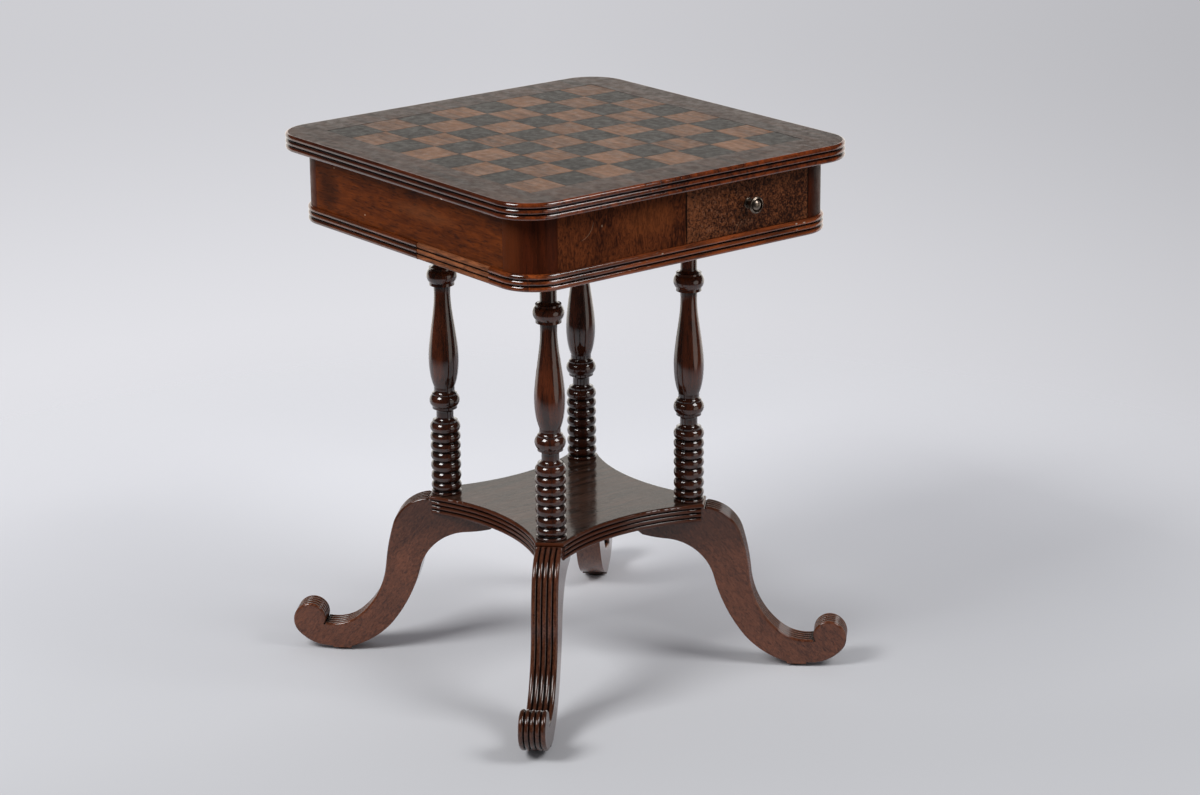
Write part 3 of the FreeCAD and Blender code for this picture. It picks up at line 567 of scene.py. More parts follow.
# Plum-pudding mahogany rubbed flat: short upright flecks without highlights, one pale curved scratch and
# painted shade along the gap to the drawer.
BURR_VENEER = Wood(
    "polished_plum_mahogany_veneer", dark="#2e130a", light="#67341a", figure=Figure.FLECKED, band_mm=6.0,
    fibre_mm=2.6, pore_mm=2.2, cloud_mm=45.0, pores=0.6, specular=0.04, polish=0.0, marks=(
        Scratch("#9b7a62", 0.45, (-172.5, -251.0, 685.8), 24.7, (0.743, 0.0, -0.669), 36.0),
        *nicks("#a48a74", ((-134.7, -251.0, 675.3), (1.1, 2.0, 2.2))),
        Oval("#7a4220", 0.3, (-60.0, -251.0, 670.0), (60.0, 3.0, 30.0)), gap_shade_line(-0.8)))
# The same veneer cut nearer the burr: close curly specks, paler round and under the knob, between lines
# of painted shade at its gaps.
DRAWER_VENEER = Wood(
    "polished_plum_mahogany_drawer_veneer", dark="#27110a", light="#774529", figure=Figure.BURR,
    band_mm=6.0, fibre_mm=3.2, pore_mm=2.6, cloud_mm=60.0, pores=0.75, contrast=1.3, specular=0.07,
    polish=0.0, marks=(
        Oval("#93634a", 0.5, (60.0, -251.0, 664.0), (95.0, 3.0, 55.0), speck_mm=2.6),
        Oval("#a98468", 0.6, (92.0, -251.0, 642.0), (20.0, 3.0, 7.0), speck_mm=1.8),
        gap_shade_line(-0.4), gap_shade_line(202.4, 2.2)))
# Mahogany mouldings, French polished: sharp bright lines as on the edge of the top, over lighter wood.
MOULDING_MAHOGANY = Wood(
    "polished_mahogany_moulding", dark="#3d1a0a", light="#96491f", specular=0.02, polish=1.0,
    polish_roughness=0.05, polish_ior=1.7, wax_and_shade_mm=5.5, marks=(
        # painted shade on the reeds of the left side
        Oval(LEFT_REED_SHADE, 0.65, (-257.0, 60.0, 618.0), (30.0, 420.0, 60.0)),
        *nicks(PALE_NICK, ((179.7, -255.0, 626.1), (2.4, 3.0, 1.2)),
               ((192.9, -255.0, 625.6), (3.0, 3.0, 1.0))),
        *nicks("#a9917a", ((180.9, -255.0, 618.3), (2.0, 3.0, 1.0))),
        *nicks(PALE_NICK, ((-42.5, -255.0, 625.0), (2.0, 3.0, 1.2)))))
# Walnut let in as a repair and only oiled: paler and duller than the moulding on both sides of it.
REPAIR_WALNUT = Wood(
    "oiled_walnut_repair", dark="#4e2c1b", light="#8f5635", figure=Figure.STREAKED, band_mm=7.0,
    fibre_mm=2.6, specular=0.1, polish=0.0, wax_and_shade_mm=2.4)
# Turned mahogany, French polished on the lathe: near black in the grooves from old wax and painted shade,
# small sharp lights on the rings.
COLUMN_MAHOGANY = Wood(
    "french_polished_mahogany_turning", dark="#240d06", light="#562713", roughness=0.35, specular=0.05,
    polish=1.0, polish_roughness=0.04, polish_ior=1.65, wax_and_shade_mm=9.0, marks=(
        # painted shade: the rings below this level are darker
        Skirt("#1a0a05", 0.45, 395.0, 12.0),))
# French polished mahogany gone grey-brown: it mirrors the columns softly. Its reeds are stained redder.
PLATFORM_MAHOGANY = Wood(
    "french_polished_mahogany_platform", dark="#221610", light="#483127", specular=0.02, polish=0.6,
    polish_roughness=0.1, wax_and_shade_mm=6.0, marks=(Skirt("#4c2412", 0.85, 228.4),))
# Polished crotch mahogany: a fine slanting hatch over soft clouds, with painted shade towards the platform
# and on the front left leg.
LEG_MAHOGANY = Wood(
    "polished_mahogany_leg", dark="#33170c", light="#7a4730", figure=Figure.FLECKED, band_mm=3.4,
    fibre_mm=2.4, pore_mm=1.8, cloud_mm=34.0, pores=0.35, contrast=0.65, specular=0.04, polish=0.9,
    polish_roughness=0.06, wax_and_shade_mm=7.0, marks=(
        # painted shade on the front left leg
        Oval("#160a05", 0.72, (-230.0, -230.0, 110.0), (110.0, 110.0, 190.0)),
        # painted shade on the legs towards the platform, under its edge
        Oval("#24100a", 0.5, (0.0, 0.0, 222.0), (700.0, 700.0, 95.0))))
# Pine stained brown under the veneers and never polished: matt, with plain dark stripes.
GROUND_PINE = Wood("stained_pine_ground", dark="#3c2415", light="#6b4527", roughness=0.6, polish=0.0)
# Birch planed and left raw: pale yellow, matt and nearly even.
DRAWER_BIRCH = Wood(
    "raw_birch_drawer", dark="#a57a4d", light="#cda374", band_mm=18.0, pores=0.25, roughness=0.62,
    polish=0.0)
# Maple stained brown and waxed with the top: warm mid brown under the same dull sheen as its border.
LIGHT_INLAY = Wood(
    "stained_maple_inlay", dark="#4b301f", light="#7c5438", band_mm=9.0, pores=0.35, roughness=0.4,
    specular=0.11, polish=0.0, tiled=True)
# Pear wood ebonised and waxed with it: near black, even, with hardly any grain to see.
DARK_INLAY = Wood(
    "ebonised_pear_inlay", dark="#13110f", light="#2c2824", band_mm=9.0, pores=0.4, roughness=0.4,
    specular=0.11, polish=0.0, tiled=True)
# Leather discs under the feet: dark, matt and finely pebbled.
GLIDE_LEATHER = Wood(
    "waxed_leather_glide", dark="#1a1310", light="#3a2a20", figure=Figure.BURR, band_mm=3.0,
    fibre_mm=0.8, roughness=0.7, polish=0.0)
# Cast brass handled for years: bright on its rim and dome, brown-black in its dish.
KNOB_BRASS = Metal("tarnished_brass_knob", bright="#8d8074", tarnish="#2a2320", roughness=0.26)
# Steel blued by heat and never polished: dull grey with darker patches.
SCREW_STEEL = Metal("blued_steel_screw", bright="#8d8f92", tarnish="#3a3733", roughness=0.4)


# ---- Bench
class Bench:
    """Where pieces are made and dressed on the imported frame."""

    weld_mm: float = 0.01
    flat_degrees: float = 0.5  # faces that turn by less than this are joined
    sharp_degrees: float = 30.0
    arris_degrees: float = 35.0  # edges that turn by more than this are eased
    arris_steps: int = 2

    def __init__(self, frame: dict) -> None:
        """Keep the frame's nodes and the slot of each.
        """
        self.nodes = frame["nodes"]
        self.slots = {name: node.data.materials[0].name.split(".")[0] for name, node in self.nodes.items()}

    def dress(self, name: str, finish: Wood | Metal, grain: Triple) -> None:
        """Give a CAD node its finish.

        Args:
            name: the node.
            finish: the wood or metal.
            grain: the direction of its fibres.
        """
        for slot in self.nodes[name].material_slots:
            slot.material = finish.material(grain)
        LOG.info("dressed %s in %s", name, finish.name)

    def adopt(self, piece: bpy.types.Object, name: str) -> None:
        """Let a made piece stand for a CAD node.

        Args:
            piece: the piece, in place.
            name: the node that it replaces.
        """
        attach(piece, body_of(self.nodes[name])[0])
        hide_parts(name)
        LOG.info("made %s for %s", piece.name, name)

    def soften(self, name: str, finish: Wood, grain: Triple, arris_mm: float = 0.4) -> None:
        """Replace a sawn CAD node by a copy whose arrises are eased.

        Args:
            name: the node.
            finish: the wood of the copy.
            grain: the direction of its fibres.
            arris_mm: the width of the eased arris.
        """
        shape = bmesh.new()
        shape.from_mesh(self.nodes[name].data)
        bmesh.ops.remove_doubles(shape, verts=shape.verts, dist=self.weld_mm * MM)
        bmesh.ops.dissolve_limit(shape, angle_limit=math.radians(self.flat_degrees), verts=shape.verts,
                                 edges=shape.edges)
        mesh = bpy.data.meshes.new(name + "_eased")
        shape.to_mesh(mesh)
        shape.free()
        smooth(mesh, self.sharp_degrees)
        mesh.materials.append(finish.material(grain))
        piece = put(name + "_eased", mesh)
        bevel = piece.modifiers.new("arris", "BEVEL")
        bevel.width = arris_mm * MM
        bevel.segments = self.arris_steps
        bevel.limit_method = "ANGLE"
        bevel.angle_limit = math.radians(self.arris_degrees)
        bevel.harden_normals = True
        self.adopt(piece, name)


class ShapeTree:
    """A Geometry Nodes tree with named sizes, grown into a plain mesh."""

    def __init__(self, name: str, sizes: dict[str, float | int | bpy.types.Material]) -> None:
        """Start a tree.

        Args:
            name: the name of the tree and of the piece.
            sizes: each named input with its value, lengths in metres.
        """
        self.tree = bpy.data.node_groups.new(name, "GeometryNodeTree")
        self.sizes = sizes
        kinds = {float: "NodeSocketFloat", int: "NodeSocketInt", bpy.types.Material: "NodeSocketMaterial"}
        self.sockets = {
            label: self.tree.interface.new_socket(label, in_out="INPUT", socket_type=kinds[type(value)])
            for label, value in sizes.items()}
        self.tree.interface.new_socket("Geometry", in_out="OUTPUT", socket_type="NodeSocketGeometry")
        self.given = add_node(self.tree, "NodeGroupInput").node

    def __getitem__(self, label: str) -> Socket:
        """Return the socket of a named size."""
        return self.given.outputs[label]

    def add(self, kind: str, inputs: dict | None = None, output: int | str = 0,
            **settings: object) -> Socket | None:
        """Add a node to this tree, as add_node does.

        Args:
            kind: the node's type name.
            inputs: input name or number, and what feeds it.
            output: name or number of the output that is wanted.
            settings: the node's own attributes.

        Returns:
            That output.
        """
        return add_node(self.tree, kind, inputs, output, **settings)

    def grow(self, geometry: Socket, sharp_degrees: float = 0.0) -> bpy.types.Object:
        """Evaluate the tree and keep its result as a plain mesh.

        Args:
            geometry: the last geometry in the tree.
            sharp_degrees: the angle from which edges stay sharp, or 0 to leave every face flat.

        Returns:
            The piece, with no modifier left on it.
        """
        self.add("NodeGroupOutput", {"Geometry": geometry})
        piece = put(self.tree.name, bpy.data.meshes.new(self.tree.name))
        modifier = piece.modifiers.new(self.tree.name, "NODES")
        modifier.node_group = self.tree
        for label, value in self.sizes.items():
            modifier[self.sockets[label].identifier] = value
        bpy.context.view_layer.update()
        grown = piece.evaluated_get(bpy.context.evaluated_depsgraph_get())
        mesh = bpy.data.meshes.new_from_object(grown)
        piece.modifiers.remove(modifier)
        materials = list(mesh.materials)
        worn = [materials[face.material_index] for face in mesh.polygons]
        mesh.materials.clear()
        for material in filter(None, materials):
            mesh.materials.append(material)
        for face, material in zip(mesh.polygons, worn):
            face.material_index = mesh.materials.find(material.name)
        if sharp_degrees:
            smooth(mesh, sharp_degrees)
        piece.data = mesh
        return piece


# ---- Sub-assemblies
@dataclass
class TableTop:
    """Solid top with a reeded edge, and the squares of the board let into it."""

    level_mm: float = 703.0
    size_mm: float = 550.0
    thickness_mm: float = 22.0
    corner_mm: float = 55.0
    corner_steps: int = 24
    reeds: int = 3
    reed_steps: int = 24
    land_mm: float = 0.3
    square_mm: float = 55.0
    side: int = 8
    inlay_mm: float = 4.0
    joint_mm: float = 0.15
    arris_mm: float = 0.25
    glue_mm: float = 0.13  # over and under each square, which leaves room for its lean
    unevenness: float = 0.12  # degrees that a square may lean
    lean_seed: int = 3
    grain_seed: int = 11
    weld_mm: float = 0.02
    sharp_degrees: float = 40.0

    def build(self, bench: Bench) -> None:
        """Make the slab and both sets of squares.

        Args:
            bench: where they are made.
        """
        bench.adopt(self._slab(), "top_panel")
        for parity, (name, finish) in enumerate((("board_light_squares", LIGHT_INLAY),
                                                 ("board_dark_squares", DARK_INLAY))):
            bench.adopt(self._squares(name + "_laid", parity, finish), name)

    def _slab(self) -> bpy.types.Object:
        """Make the slab: a profile of reeds swept round it, and its flat faces with the recess.

        Returns:
            The slab, in place.
        """
        board_mm = self.side * self.square_mm + 2 * self.joint_mm
        shape = ShapeTree("top_panel_reeded", {
            "Size": self.size_mm * MM, "Corner Radius": self.corner_mm * MM,
            "Thickness": self.thickness_mm * MM, "Reeds": self.reeds, "Land": self.land_mm * MM,
            "Recess": board_mm * MM, "Inlay": self.inlay_mm * MM,
            "Edge": TOP_EDGE_MAHOGANY.material(ALONG_Y), "Face": TOP_MAHOGANY.material(ALONG_Y)})
        reed = shape.add("ShaderNodeMath", {0: shape["Thickness"], 1: shape["Reeds"]}, operation="DIVIDE")
        width = shape.add("ShaderNodeMath", {0: reed, 1: shape["Land"]}, operation="SUBTRACT")
        round_off = shape.add("ShaderNodeMath", {0: width, 1: 0.5}, operation="MULTIPLY")
        square = shape.add("GeometryNodeCurvePrimitiveQuadrilateral", {
            "Width": shape["Size"], "Height": shape["Size"]})
        rounded = shape.add("GeometryNodeFilletCurve", {
            "Curve": square, "Radius": shape["Corner Radius"], "Count": self.corner_steps}, mode="POLY")
        outline = shape.add("GeometryNodeSetCurveNormal", {"Curve": rounded}, mode="Z_UP")
        band = shape.add("GeometryNodeCurveToMesh", {
            "Curve": outline, "Profile Curve": self._profile(shape, reed, round_off)})
        band = shape.add("GeometryNodeFlipFaces", {0: band})
        band = shape.add("GeometryNodeSetMaterial", {"Geometry": band, "Material": shape["Edge"]})
        inwards = shape.add("ShaderNodeMath", {0: round_off, 1: -1.0}, operation="MULTIPLY")
        inset = shape.add("ShaderNodeVectorMath", {
            0: shape.add("GeometryNodeInputNormal"), "Scale": inwards}, operation="SCALE")
        inner = shape.add("GeometryNodeSetPosition", {"Geometry": outline, "Offset": inset})
        recess = shape.add("GeometryNodeCurvePrimitiveQuadrilateral", {
            "Width": shape["Recess"], "Height": shape["Recess"]})
        both = shape.add("GeometryNodeJoinGeometry", {0: [inner, recess]})
        border = shape.add("GeometryNodeFillCurve", {0: both})
        floor = shape.add("GeometryNodeExtrudeMesh", {
            "Mesh": shape.add("GeometryNodeFillCurve", {0: recess}), "Individual": False,
            "Offset": shape.add("ShaderNodeCombineXYZ", {"Z": -1.0}), "Offset Scale": shape["Inlay"]})
        top = shape.add("GeometryNodeJoinGeometry", {0: [border, floor]})
        top = shape.add("GeometryNodeTransform", {
            "Geometry": top, "Translation": shape.add("ShaderNodeCombineXYZ", {"Z": shape["Thickness"]})})
        under = shape.add("GeometryNodeFillCurve", {0: inner})
        under = shape.add("GeometryNodeFlipFaces", {0: under})
        flats = shape.add("GeometryNodeJoinGeometry", {0: [top, under]})
        flats = shape.add("GeometryNodeSetMaterial", {"Geometry": flats, "Material": shape["Face"]})
        whole = shape.add("GeometryNodeJoinGeometry", {0: [band, flats]})
        whole = shape.add("GeometryNodeTransform", {
            "Geometry": whole, "Translation": (0.0, 0.0, self.level_mm * MM)})
        whole = shape.add("GeometryNodeMergeByDistance", {"Geometry": whole, "Distance": self.weld_mm * MM})
        return shape.grow(shape.add("GeometryNodeRealizeInstances", {0: whole}), self.sharp_degrees)

    def _profile(self, shape: ShapeTree, reed: Socket, round_off: Socket) -> Socket:
        """Draw the section of the edge: equal reeds, each a half round with a narrow land at its crest.

        Args:
            shape: the tree of the slab.
            reed: the height of one reed.
            round_off: the radius of its half round.

        Returns:
            The section as a curve, from the upper face down.
        """
        nudge = 1e-5  # keeps rounding from putting a seam into the reed above it
        points = shape.add("ShaderNodeMath", {0: shape["Reeds"], 1: float(self.reed_steps), 2: 1.0},
                           operation="MULTIPLY_ADD")
        line = shape.add("GeometryNodeCurvePrimitiveLine", {"End": ALONG_X})
        line = shape.add("GeometryNodeResampleCurve", {"Curve": line, "Count": points})
        share = shape.add("GeometryNodeSplineParameter")
        along = shape.add("ShaderNodeMath", {0: share, 1: shape["Reeds"]}, operation="MULTIPLY")
        along = shape.add("ShaderNodeMath", {0: along, 1: nudge}, operation="ADD")
        number = shape.add("ShaderNodeMath", {0: along}, operation="FLOOR")
        part = shape.add("ShaderNodeMath", {0: along}, operation="FRACT")
        angle = shape.add("ShaderNodeMath", {0: part, 1: math.pi}, operation="MULTIPLY")
        cosine = shape.add("ShaderNodeMath", {0: angle}, operation="COSINE")
        eased = shape.add("ShaderNodeMath", {0: cosine, 1: -0.5, 2: 0.5}, operation="MULTIPLY_ADD")
        passed = shape.add("ShaderNodeMath", {0: number, 1: eased}, operation="ADD")
        rise = shape.add("ShaderNodeMath", {0: passed, 1: reed}, operation="MULTIPLY")
        middle = shape.add("ShaderNodeMath", {0: eased, 1: 0.5}, operation="SUBTRACT")
        middle = shape.add("ShaderNodeMath", {0: middle}, operation="ABSOLUTE")
        off = shape.add("ShaderNodeMath", {0: middle, 1: reed}, operation="MULTIPLY")
        half_land = shape.add("ShaderNodeMath", {0: shape["Land"], 1: 0.5}, operation="MULTIPLY")
        off = shape.add("ShaderNodeMath", {0: off, 1: half_land}, operation="SUBTRACT")
        off = shape.add("ShaderNodeMath", {0: off, 1: 0.0}, operation="MAXIMUM")
        square = shape.add("ShaderNodeMath", {0: off, 1: off}, operation="MULTIPLY")
        whole = shape.add("ShaderNodeMath", {0: round_off, 1: round_off}, operation="MULTIPLY")
        left = shape.add("ShaderNodeMath", {0: whole, 1: square}, operation="SUBTRACT")
        left = shape.add("ShaderNodeMath", {0: left, 1: 0.0}, operation="MAXIMUM")
        root = shape.add("ShaderNodeMath", {0: left}, operation="SQRT")
        depth = shape.add("ShaderNodeMath", {0: root, 1: round_off}, operation="SUBTRACT")
        down = shape.add("ShaderNodeMath", {0: rise, 1: -1.0}, operation="MULTIPLY")
        place = shape.add("ShaderNodeCombineXYZ", {"X": depth, "Y": down})
        return shape.add("GeometryNodeSetPosition", {"Geometry": line, "Position": place})

    def _squares(self, name: str, parity: int, finish: Wood) -> bpy.types.Object:
        """Lay one colour's squares on a grid, each cut from its own piece of wood.

        Args:
            name: the name of the piece.
            parity: 0 for the colour of the front left corner, 1 for the other.
            finish: the wood of the squares.

        Returns:
            All the squares of that colour, in place.
        """
        shape = ShapeTree(name, {
            "Square": self.square_mm * MM, "Side": self.side, "Joint": self.joint_mm * MM,
            "Inlay": self.inlay_mm * MM, "Arris": self.arris_mm * MM, "Glue": self.glue_mm * MM,
            "Colour": parity, "Wood": finish.material(ALONG_Y)})
        steps = shape.add("ShaderNodeMath", {0: shape["Side"], 1: 1.0}, operation="SUBTRACT")
        span = shape.add("ShaderNodeMath", {0: steps, 1: shape["Square"]}, operation="MULTIPLY")
        grid = shape.add("GeometryNodeMeshGrid", {
            "Size X": span, "Size Y": span, "Vertices X": shape["Side"], "Vertices Y": shape["Side"]})
        index = shape.add("GeometryNodeInputIndex")
        file = shape.add("ShaderNodeMath", {0: index, 1: shape["Side"]}, operation="DIVIDE")
        file = shape.add("ShaderNodeMath", {0: file}, operation="FLOOR")
        count = shape.add("ShaderNodeMath", {0: index, 1: file}, operation="ADD")
        colour = shape.add("ShaderNodeMath", {0: count, 1: 2.0}, operation="MODULO")
        chosen = shape.add("FunctionNodeCompare", {0: colour, 1: shape["Colour"], "Epsilon": 0.1},
                           data_type="FLOAT", operation="EQUAL")
        across = shape.add("ShaderNodeMath", {0: shape["Square"], 1: shape["Joint"]}, operation="SUBTRACT")
        laid = shape.add("GeometryNodeInstanceOnPoints", {
            "Points": grid, "Selection": chosen, "Instance": self._square(shape, across),
            "Rotation": self._lean(shape)})
        own_wood = shape.add("FunctionNodeRandomValue", {"Seed": self.grain_seed},
                             data_type="FLOAT_VECTOR")
        laid = shape.add("GeometryNodeStoreNamedAttribute", {
            "Geometry": laid, "Name": "tile", "Value": own_wood}, data_type="FLOAT_VECTOR", domain="INSTANCE")
        laid = shape.add("GeometryNodeTransform", {
            "Geometry": laid, "Translation": (0.0, 0.0, (self.thickness_mm + self.level_mm) * MM)})
        laid = shape.add("GeometryNodeRealizeInstances", {0: laid})
        return shape.grow(shape.add("GeometryNodeSetMaterial", {"Geometry": laid, "Material": shape["Wood"]}))

    def _square(self, shape: ShapeTree, across: Socket) -> Socket:
        """Make one square with its upper arrises eased.

        Args:
            shape: the tree of the squares.
            across: the width of the square.

        Returns:
            The square, which hangs under the origin by the thickness of the glue.
        """
        play = shape.add("ShaderNodeMath", {0: shape["Glue"], 1: 2.0, 2: shape["Arris"]},
                         operation="MULTIPLY_ADD")
        body = shape.add("ShaderNodeMath", {0: shape["Inlay"], 1: play}, operation="SUBTRACT")
        tile = shape.add("GeometryNodeMeshCube", {0: shape.add("ShaderNodeCombineXYZ", {
            "X": across, "Y": across, "Z": body})})
        facing = shape.add("ShaderNodeSeparateXYZ", {0: shape.add("GeometryNodeInputNormal")}, "Z")
        upward = shape.add("FunctionNodeCompare", {0: facing, 1: 0.5}, data_type="FLOAT",
                           operation="GREATER_THAN")
        raised = shape.add("GeometryNodeExtrudeMesh", {
            "Mesh": tile, "Selection": upward, "Offset Scale": shape["Arris"]}, "Mesh")
        narrow = shape.add("ShaderNodeMath", {0: shape["Arris"], 1: -2.0, 2: across},
                           operation="MULTIPLY_ADD")
        narrowing = shape.add("ShaderNodeMath", {0: narrow, 1: across}, operation="DIVIDE")
        tile = shape.add("GeometryNodeScaleElements", {
            "Geometry": raised, "Selection": raised.node.outputs["Top"], "Scale": narrowing})
        sunk = shape.add("ShaderNodeMath", {0: body, 1: 0.5, 2: shape["Arris"]}, operation="MULTIPLY_ADD")
        sunk = shape.add("ShaderNodeMath", {0: sunk, 1: shape["Glue"]}, operation="ADD")
        sunk = shape.add("ShaderNodeMath", {0: sunk, 1: -1.0}, operation="MULTIPLY")
        return shape.add("GeometryNodeTransform", {
            "Geometry": tile, "Translation": shape.add("ShaderNodeCombineXYZ", {"Z": sunk})})

    def _lean(self, shape: ShapeTree) -> Socket:
        """Return how far each square is turned out of the level."""
        most = math.radians(self.unevenness)
        return shape.add("FunctionNodeRandomValue", {
            "Min": (-most, -most, 0.0), "Max": (most, most, 0.0), "Seed": self.lean_seed},
            data_type="FLOAT_VECTOR")


@dataclass
class Frieze:
    """Posts, rails and veneers under the top, with the moulding and the bottom board."""

    veneer_arris_mm: float = 0.25

    def build(self, bench: Bench) -> None:
        """Dress every fixed piece between the top and the columns.

        Args:
            bench: where they are dressed.
        """
        for corner in CORNER_ANGLES:
            bench.soften("corner_post_" + corner, POST_MAHOGANY, UPRIGHT)
        for side in ("left", "right"):
            bench.soften("side_rail_" + side, GROUND_PINE, ALONG_Y)
            bench.soften("side_veneer_" + side, SIDE_VENEER, ALONG_Y, self.veneer_arris_mm)
            bench.soften("drawer_guide_" + side, GROUND_PINE, ALONG_Y)
            bench.dress("top_cleat_" + side, GROUND_PINE, ALONG_Y)
        for end in ("front", "rear"):
            bench.soften("fixed_panel_" + end, GROUND_PINE, ALONG_X)
            bench.soften("fixed_veneer_" + end, BURR_VENEER, UPRIGHT, self.veneer_arris_mm)
            bench.dress("lower_moulding_" + end, MOULDING_MAHOGANY, ALONG_X)
        for part in ("right", "left_front", "left_rear"):
            bench.dress("lower_moulding_" + part, MOULDING_MAHOGANY, ALONG_Y)
        bench.dress("moulding_repair", REPAIR_WALNUT, ALONG_Y)
        bench.dress("bottom_board", GROUND_PINE, ALONG_X)
        bench.soften("centre_partition", GROUND_PINE, ALONG_Y)
        bench.soften("drawer_stops", GROUND_PINE, ALONG_X)


@dataclass
class Drawer:
    """One veneered drawer with its knob."""

    name: str
    veneer_arris_mm: float = 0.25

    def build(self, bench: Bench) -> None:
        """Dress the drawer's boards, veneer and knob.

        Args:
            bench: where they are dressed.
        """
        bench.soften(self.name + "_veneer", DRAWER_VENEER, UPRIGHT, self.veneer_arris_mm)
        bench.soften(self.name + "_face", GROUND_PINE, ALONG_X)
        for part, grain in (("side_left", ALONG_Y), ("side_right", ALONG_Y), ("back", ALONG_X),
                            ("bottom", ALONG_X)):
            bench.soften("%s_%s" % (self.name, part), DRAWER_BIRCH, grain)
        bench.dress(self.name + "_knob", KNOB_BRASS, ALONG_Y)
        bench.dress(self.name + "_knob_nut", SCREW_STEEL, ALONG_Y)


@dataclass
class Stand:
    """Columns, platform, legs and glides."""

    leg_grain: Triple = (-0.65, 0.0, 0.76)  # of a leg that points along +X

    def build(self, bench: Bench) -> None:
        """Dress everything below the bottom board.

        Args:
            bench: where it is dressed.
        """
        bench.dress("platform", PLATFORM_MAHOGANY, ALONG_X)
        for corner, angle in CORNER_ANGLES.items():
            bench.dress("column_" + corner, COLUMN_MAHOGANY, UPRIGHT)
            bench.dress("glide_" + corner, GLIDE_LEATHER, UPRIGHT)
            grain = Matrix.Rotation(math.radians(angle), 3, "Z") @ Vector(self.leg_grain)
            bench.dress("leg_" + corner, LEG_MAHOGANY, tuple(grain))


@dataclass
class Screws:
    """Countersunk slotted screws, heads down, on a grid that fills the box of their CAD node."""

    name: str
    rows: int  # from front to rear
    files: int = 2  # from left to right
    head_mm: float = 8.4
    countersink_mm: float = 2.6
    shank_mm: float = 4.4
    tip_mm: float = 0.6
    slot_mm: float = 1.0
    slot_depth_mm: float = 0.9
    sides: int = 32
    seed: int = 5
    sharp_degrees: float = 30.0

    def build(self, bench: Bench) -> None:
        """Set a screw at every point of the grid, each driven to an angle of its own.

        Args:
            bench: where they are made.
        """
        low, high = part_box(self.name)
        shape = ShapeTree(self.name + "_turned", {
            "Head": 0.5 * self.head_mm * MM, "Shank": 0.5 * self.shank_mm * MM, "Length": high.z - low.z,
            "Countersink": self.countersink_mm * MM, "Slot": self.slot_mm * MM,
            "Slot Depth": self.slot_depth_mm * MM, "Width": high.x - low.x, "Depth": high.y - low.y,
            "Files": self.files, "Rows": self.rows, "Sides": self.sides,
            "Steel": SCREW_STEEL.material(UPRIGHT)})
        spans = [shape.add("ShaderNodeMath", {0: shape["Head"], 1: -2.0, 2: shape[across]},
                           operation="MULTIPLY_ADD") for across in ("Width", "Depth")]
        grid = shape.add("GeometryNodeMeshGrid", {
            "Size X": spans[0], "Size Y": spans[1], "Vertices X": shape["Files"],
            "Vertices Y": shape["Rows"]})
        driven = shape.add("FunctionNodeRandomValue", {
            "Min": (0.0, 0.0, 0.0), "Max": (0.0, 0.0, math.pi), "Seed": self.seed}, data_type="FLOAT_VECTOR")
        screws = shape.add("GeometryNodeInstanceOnPoints", {
            "Points": grid, "Instance": self._screw(shape), "Rotation": driven})
        middle = (low + high) / 2
        screws = shape.add("GeometryNodeTransform", {
            "Geometry": screws, "Translation": (middle.x, middle.y, low.z)})
        screws = shape.add("GeometryNodeRealizeInstances", {0: screws})
        screws = shape.add("GeometryNodeSetMaterial", {"Geometry": screws, "Material": shape["Steel"]})
        bench.adopt(shape.grow(screws, self.sharp_degrees), self.name)

    def _screw(self, shape: ShapeTree) -> Socket:
        """Turn one screw and saw its slot.

        Args:
            shape: the tree of the screws.

        Returns:
            The screw, which stands on its head with its point up.
        """
        drawn = shape.add("GeometryNodeMeshCone", {
            "Vertices": shape["Sides"], "Radius Top": shape["Shank"], "Radius Bottom": shape["Head"],
            "Depth": shape["Countersink"]}, "Mesh")
        point = shape.add("ShaderNodeMath", {0: shape["Shank"], 1: 2.0}, operation="MULTIPLY")
        ends = shape.add("ShaderNodeMath", {0: point, 1: shape["Countersink"]}, operation="ADD")
        stem = shape.add("ShaderNodeMath", {0: shape["Length"], 1: ends}, operation="SUBTRACT")
        for length in (stem, point):
            drawn = shape.add("GeometryNodeExtrudeMesh", {
                "Mesh": drawn, "Selection": drawn.node.outputs["Top"], "Offset Scale": length}, "Mesh")
        screw = shape.add("GeometryNodeScaleElements", {
            "Geometry": drawn, "Selection": drawn.node.outputs["Top"], "Scale": self.tip_mm / self.shank_mm})
        depth = shape.add("ShaderNodeMath", {0: shape["Slot Depth"], 1: 2.0}, operation="MULTIPLY")
        length = shape.add("ShaderNodeMath", {0: shape["Head"], 1: 3.0}, operation="MULTIPLY")
        saw = shape.add("GeometryNodeMeshCube", {0: shape.add("ShaderNodeCombineXYZ", {
            "X": length, "Y": shape["Slot"], "Z": depth})})
        return shape.add("GeometryNodeMeshBoolean", {"Mesh 1": screw, "Mesh 2": saw}, operation="DIFFERENCE")


# ---- Studio
def outwards(azimuth: float, elevation: float) -> Vector:
    """Return the way from the table to what stands at an azimuth and an elevation.

    Args:
        azimuth: degrees from -Y towards +X.
        elevation: degrees above the level.

    Returns:
        The way, of length 1.
    """
    around = math.radians(azimuth)
    rise = math.radians(elevation)
    return Vector((math.sin(around) * math.cos(rise), -math.cos(around) * math.cos(rise), math.sin(rise)))


@dataclass
class Softbox:
    """A square lamp seen from the table at an azimuth and an elevation."""

    name: str
    azimuth: float
    power: float
    elevation: float = 42.0
    distance: float = 3.6
    size: float = 1.4

    def build(self, target: Vector) -> None:
        """Hang the lamp and aim it.

        Args:
            target: the point that it lights.
        """
        lamp = bpy.data.lights.new(self.name, "AREA")
        lamp.shape = "SQUARE"
        lamp.size = self.size
        lamp.energy = self.power
        holder = put(self.name, lamp)
        away = outwards(self.azimuth, self.elevation)
        holder.location = target + away * self.distance
        holder.rotation_euler = away.to_track_quat("Z", "Y").to_euler()


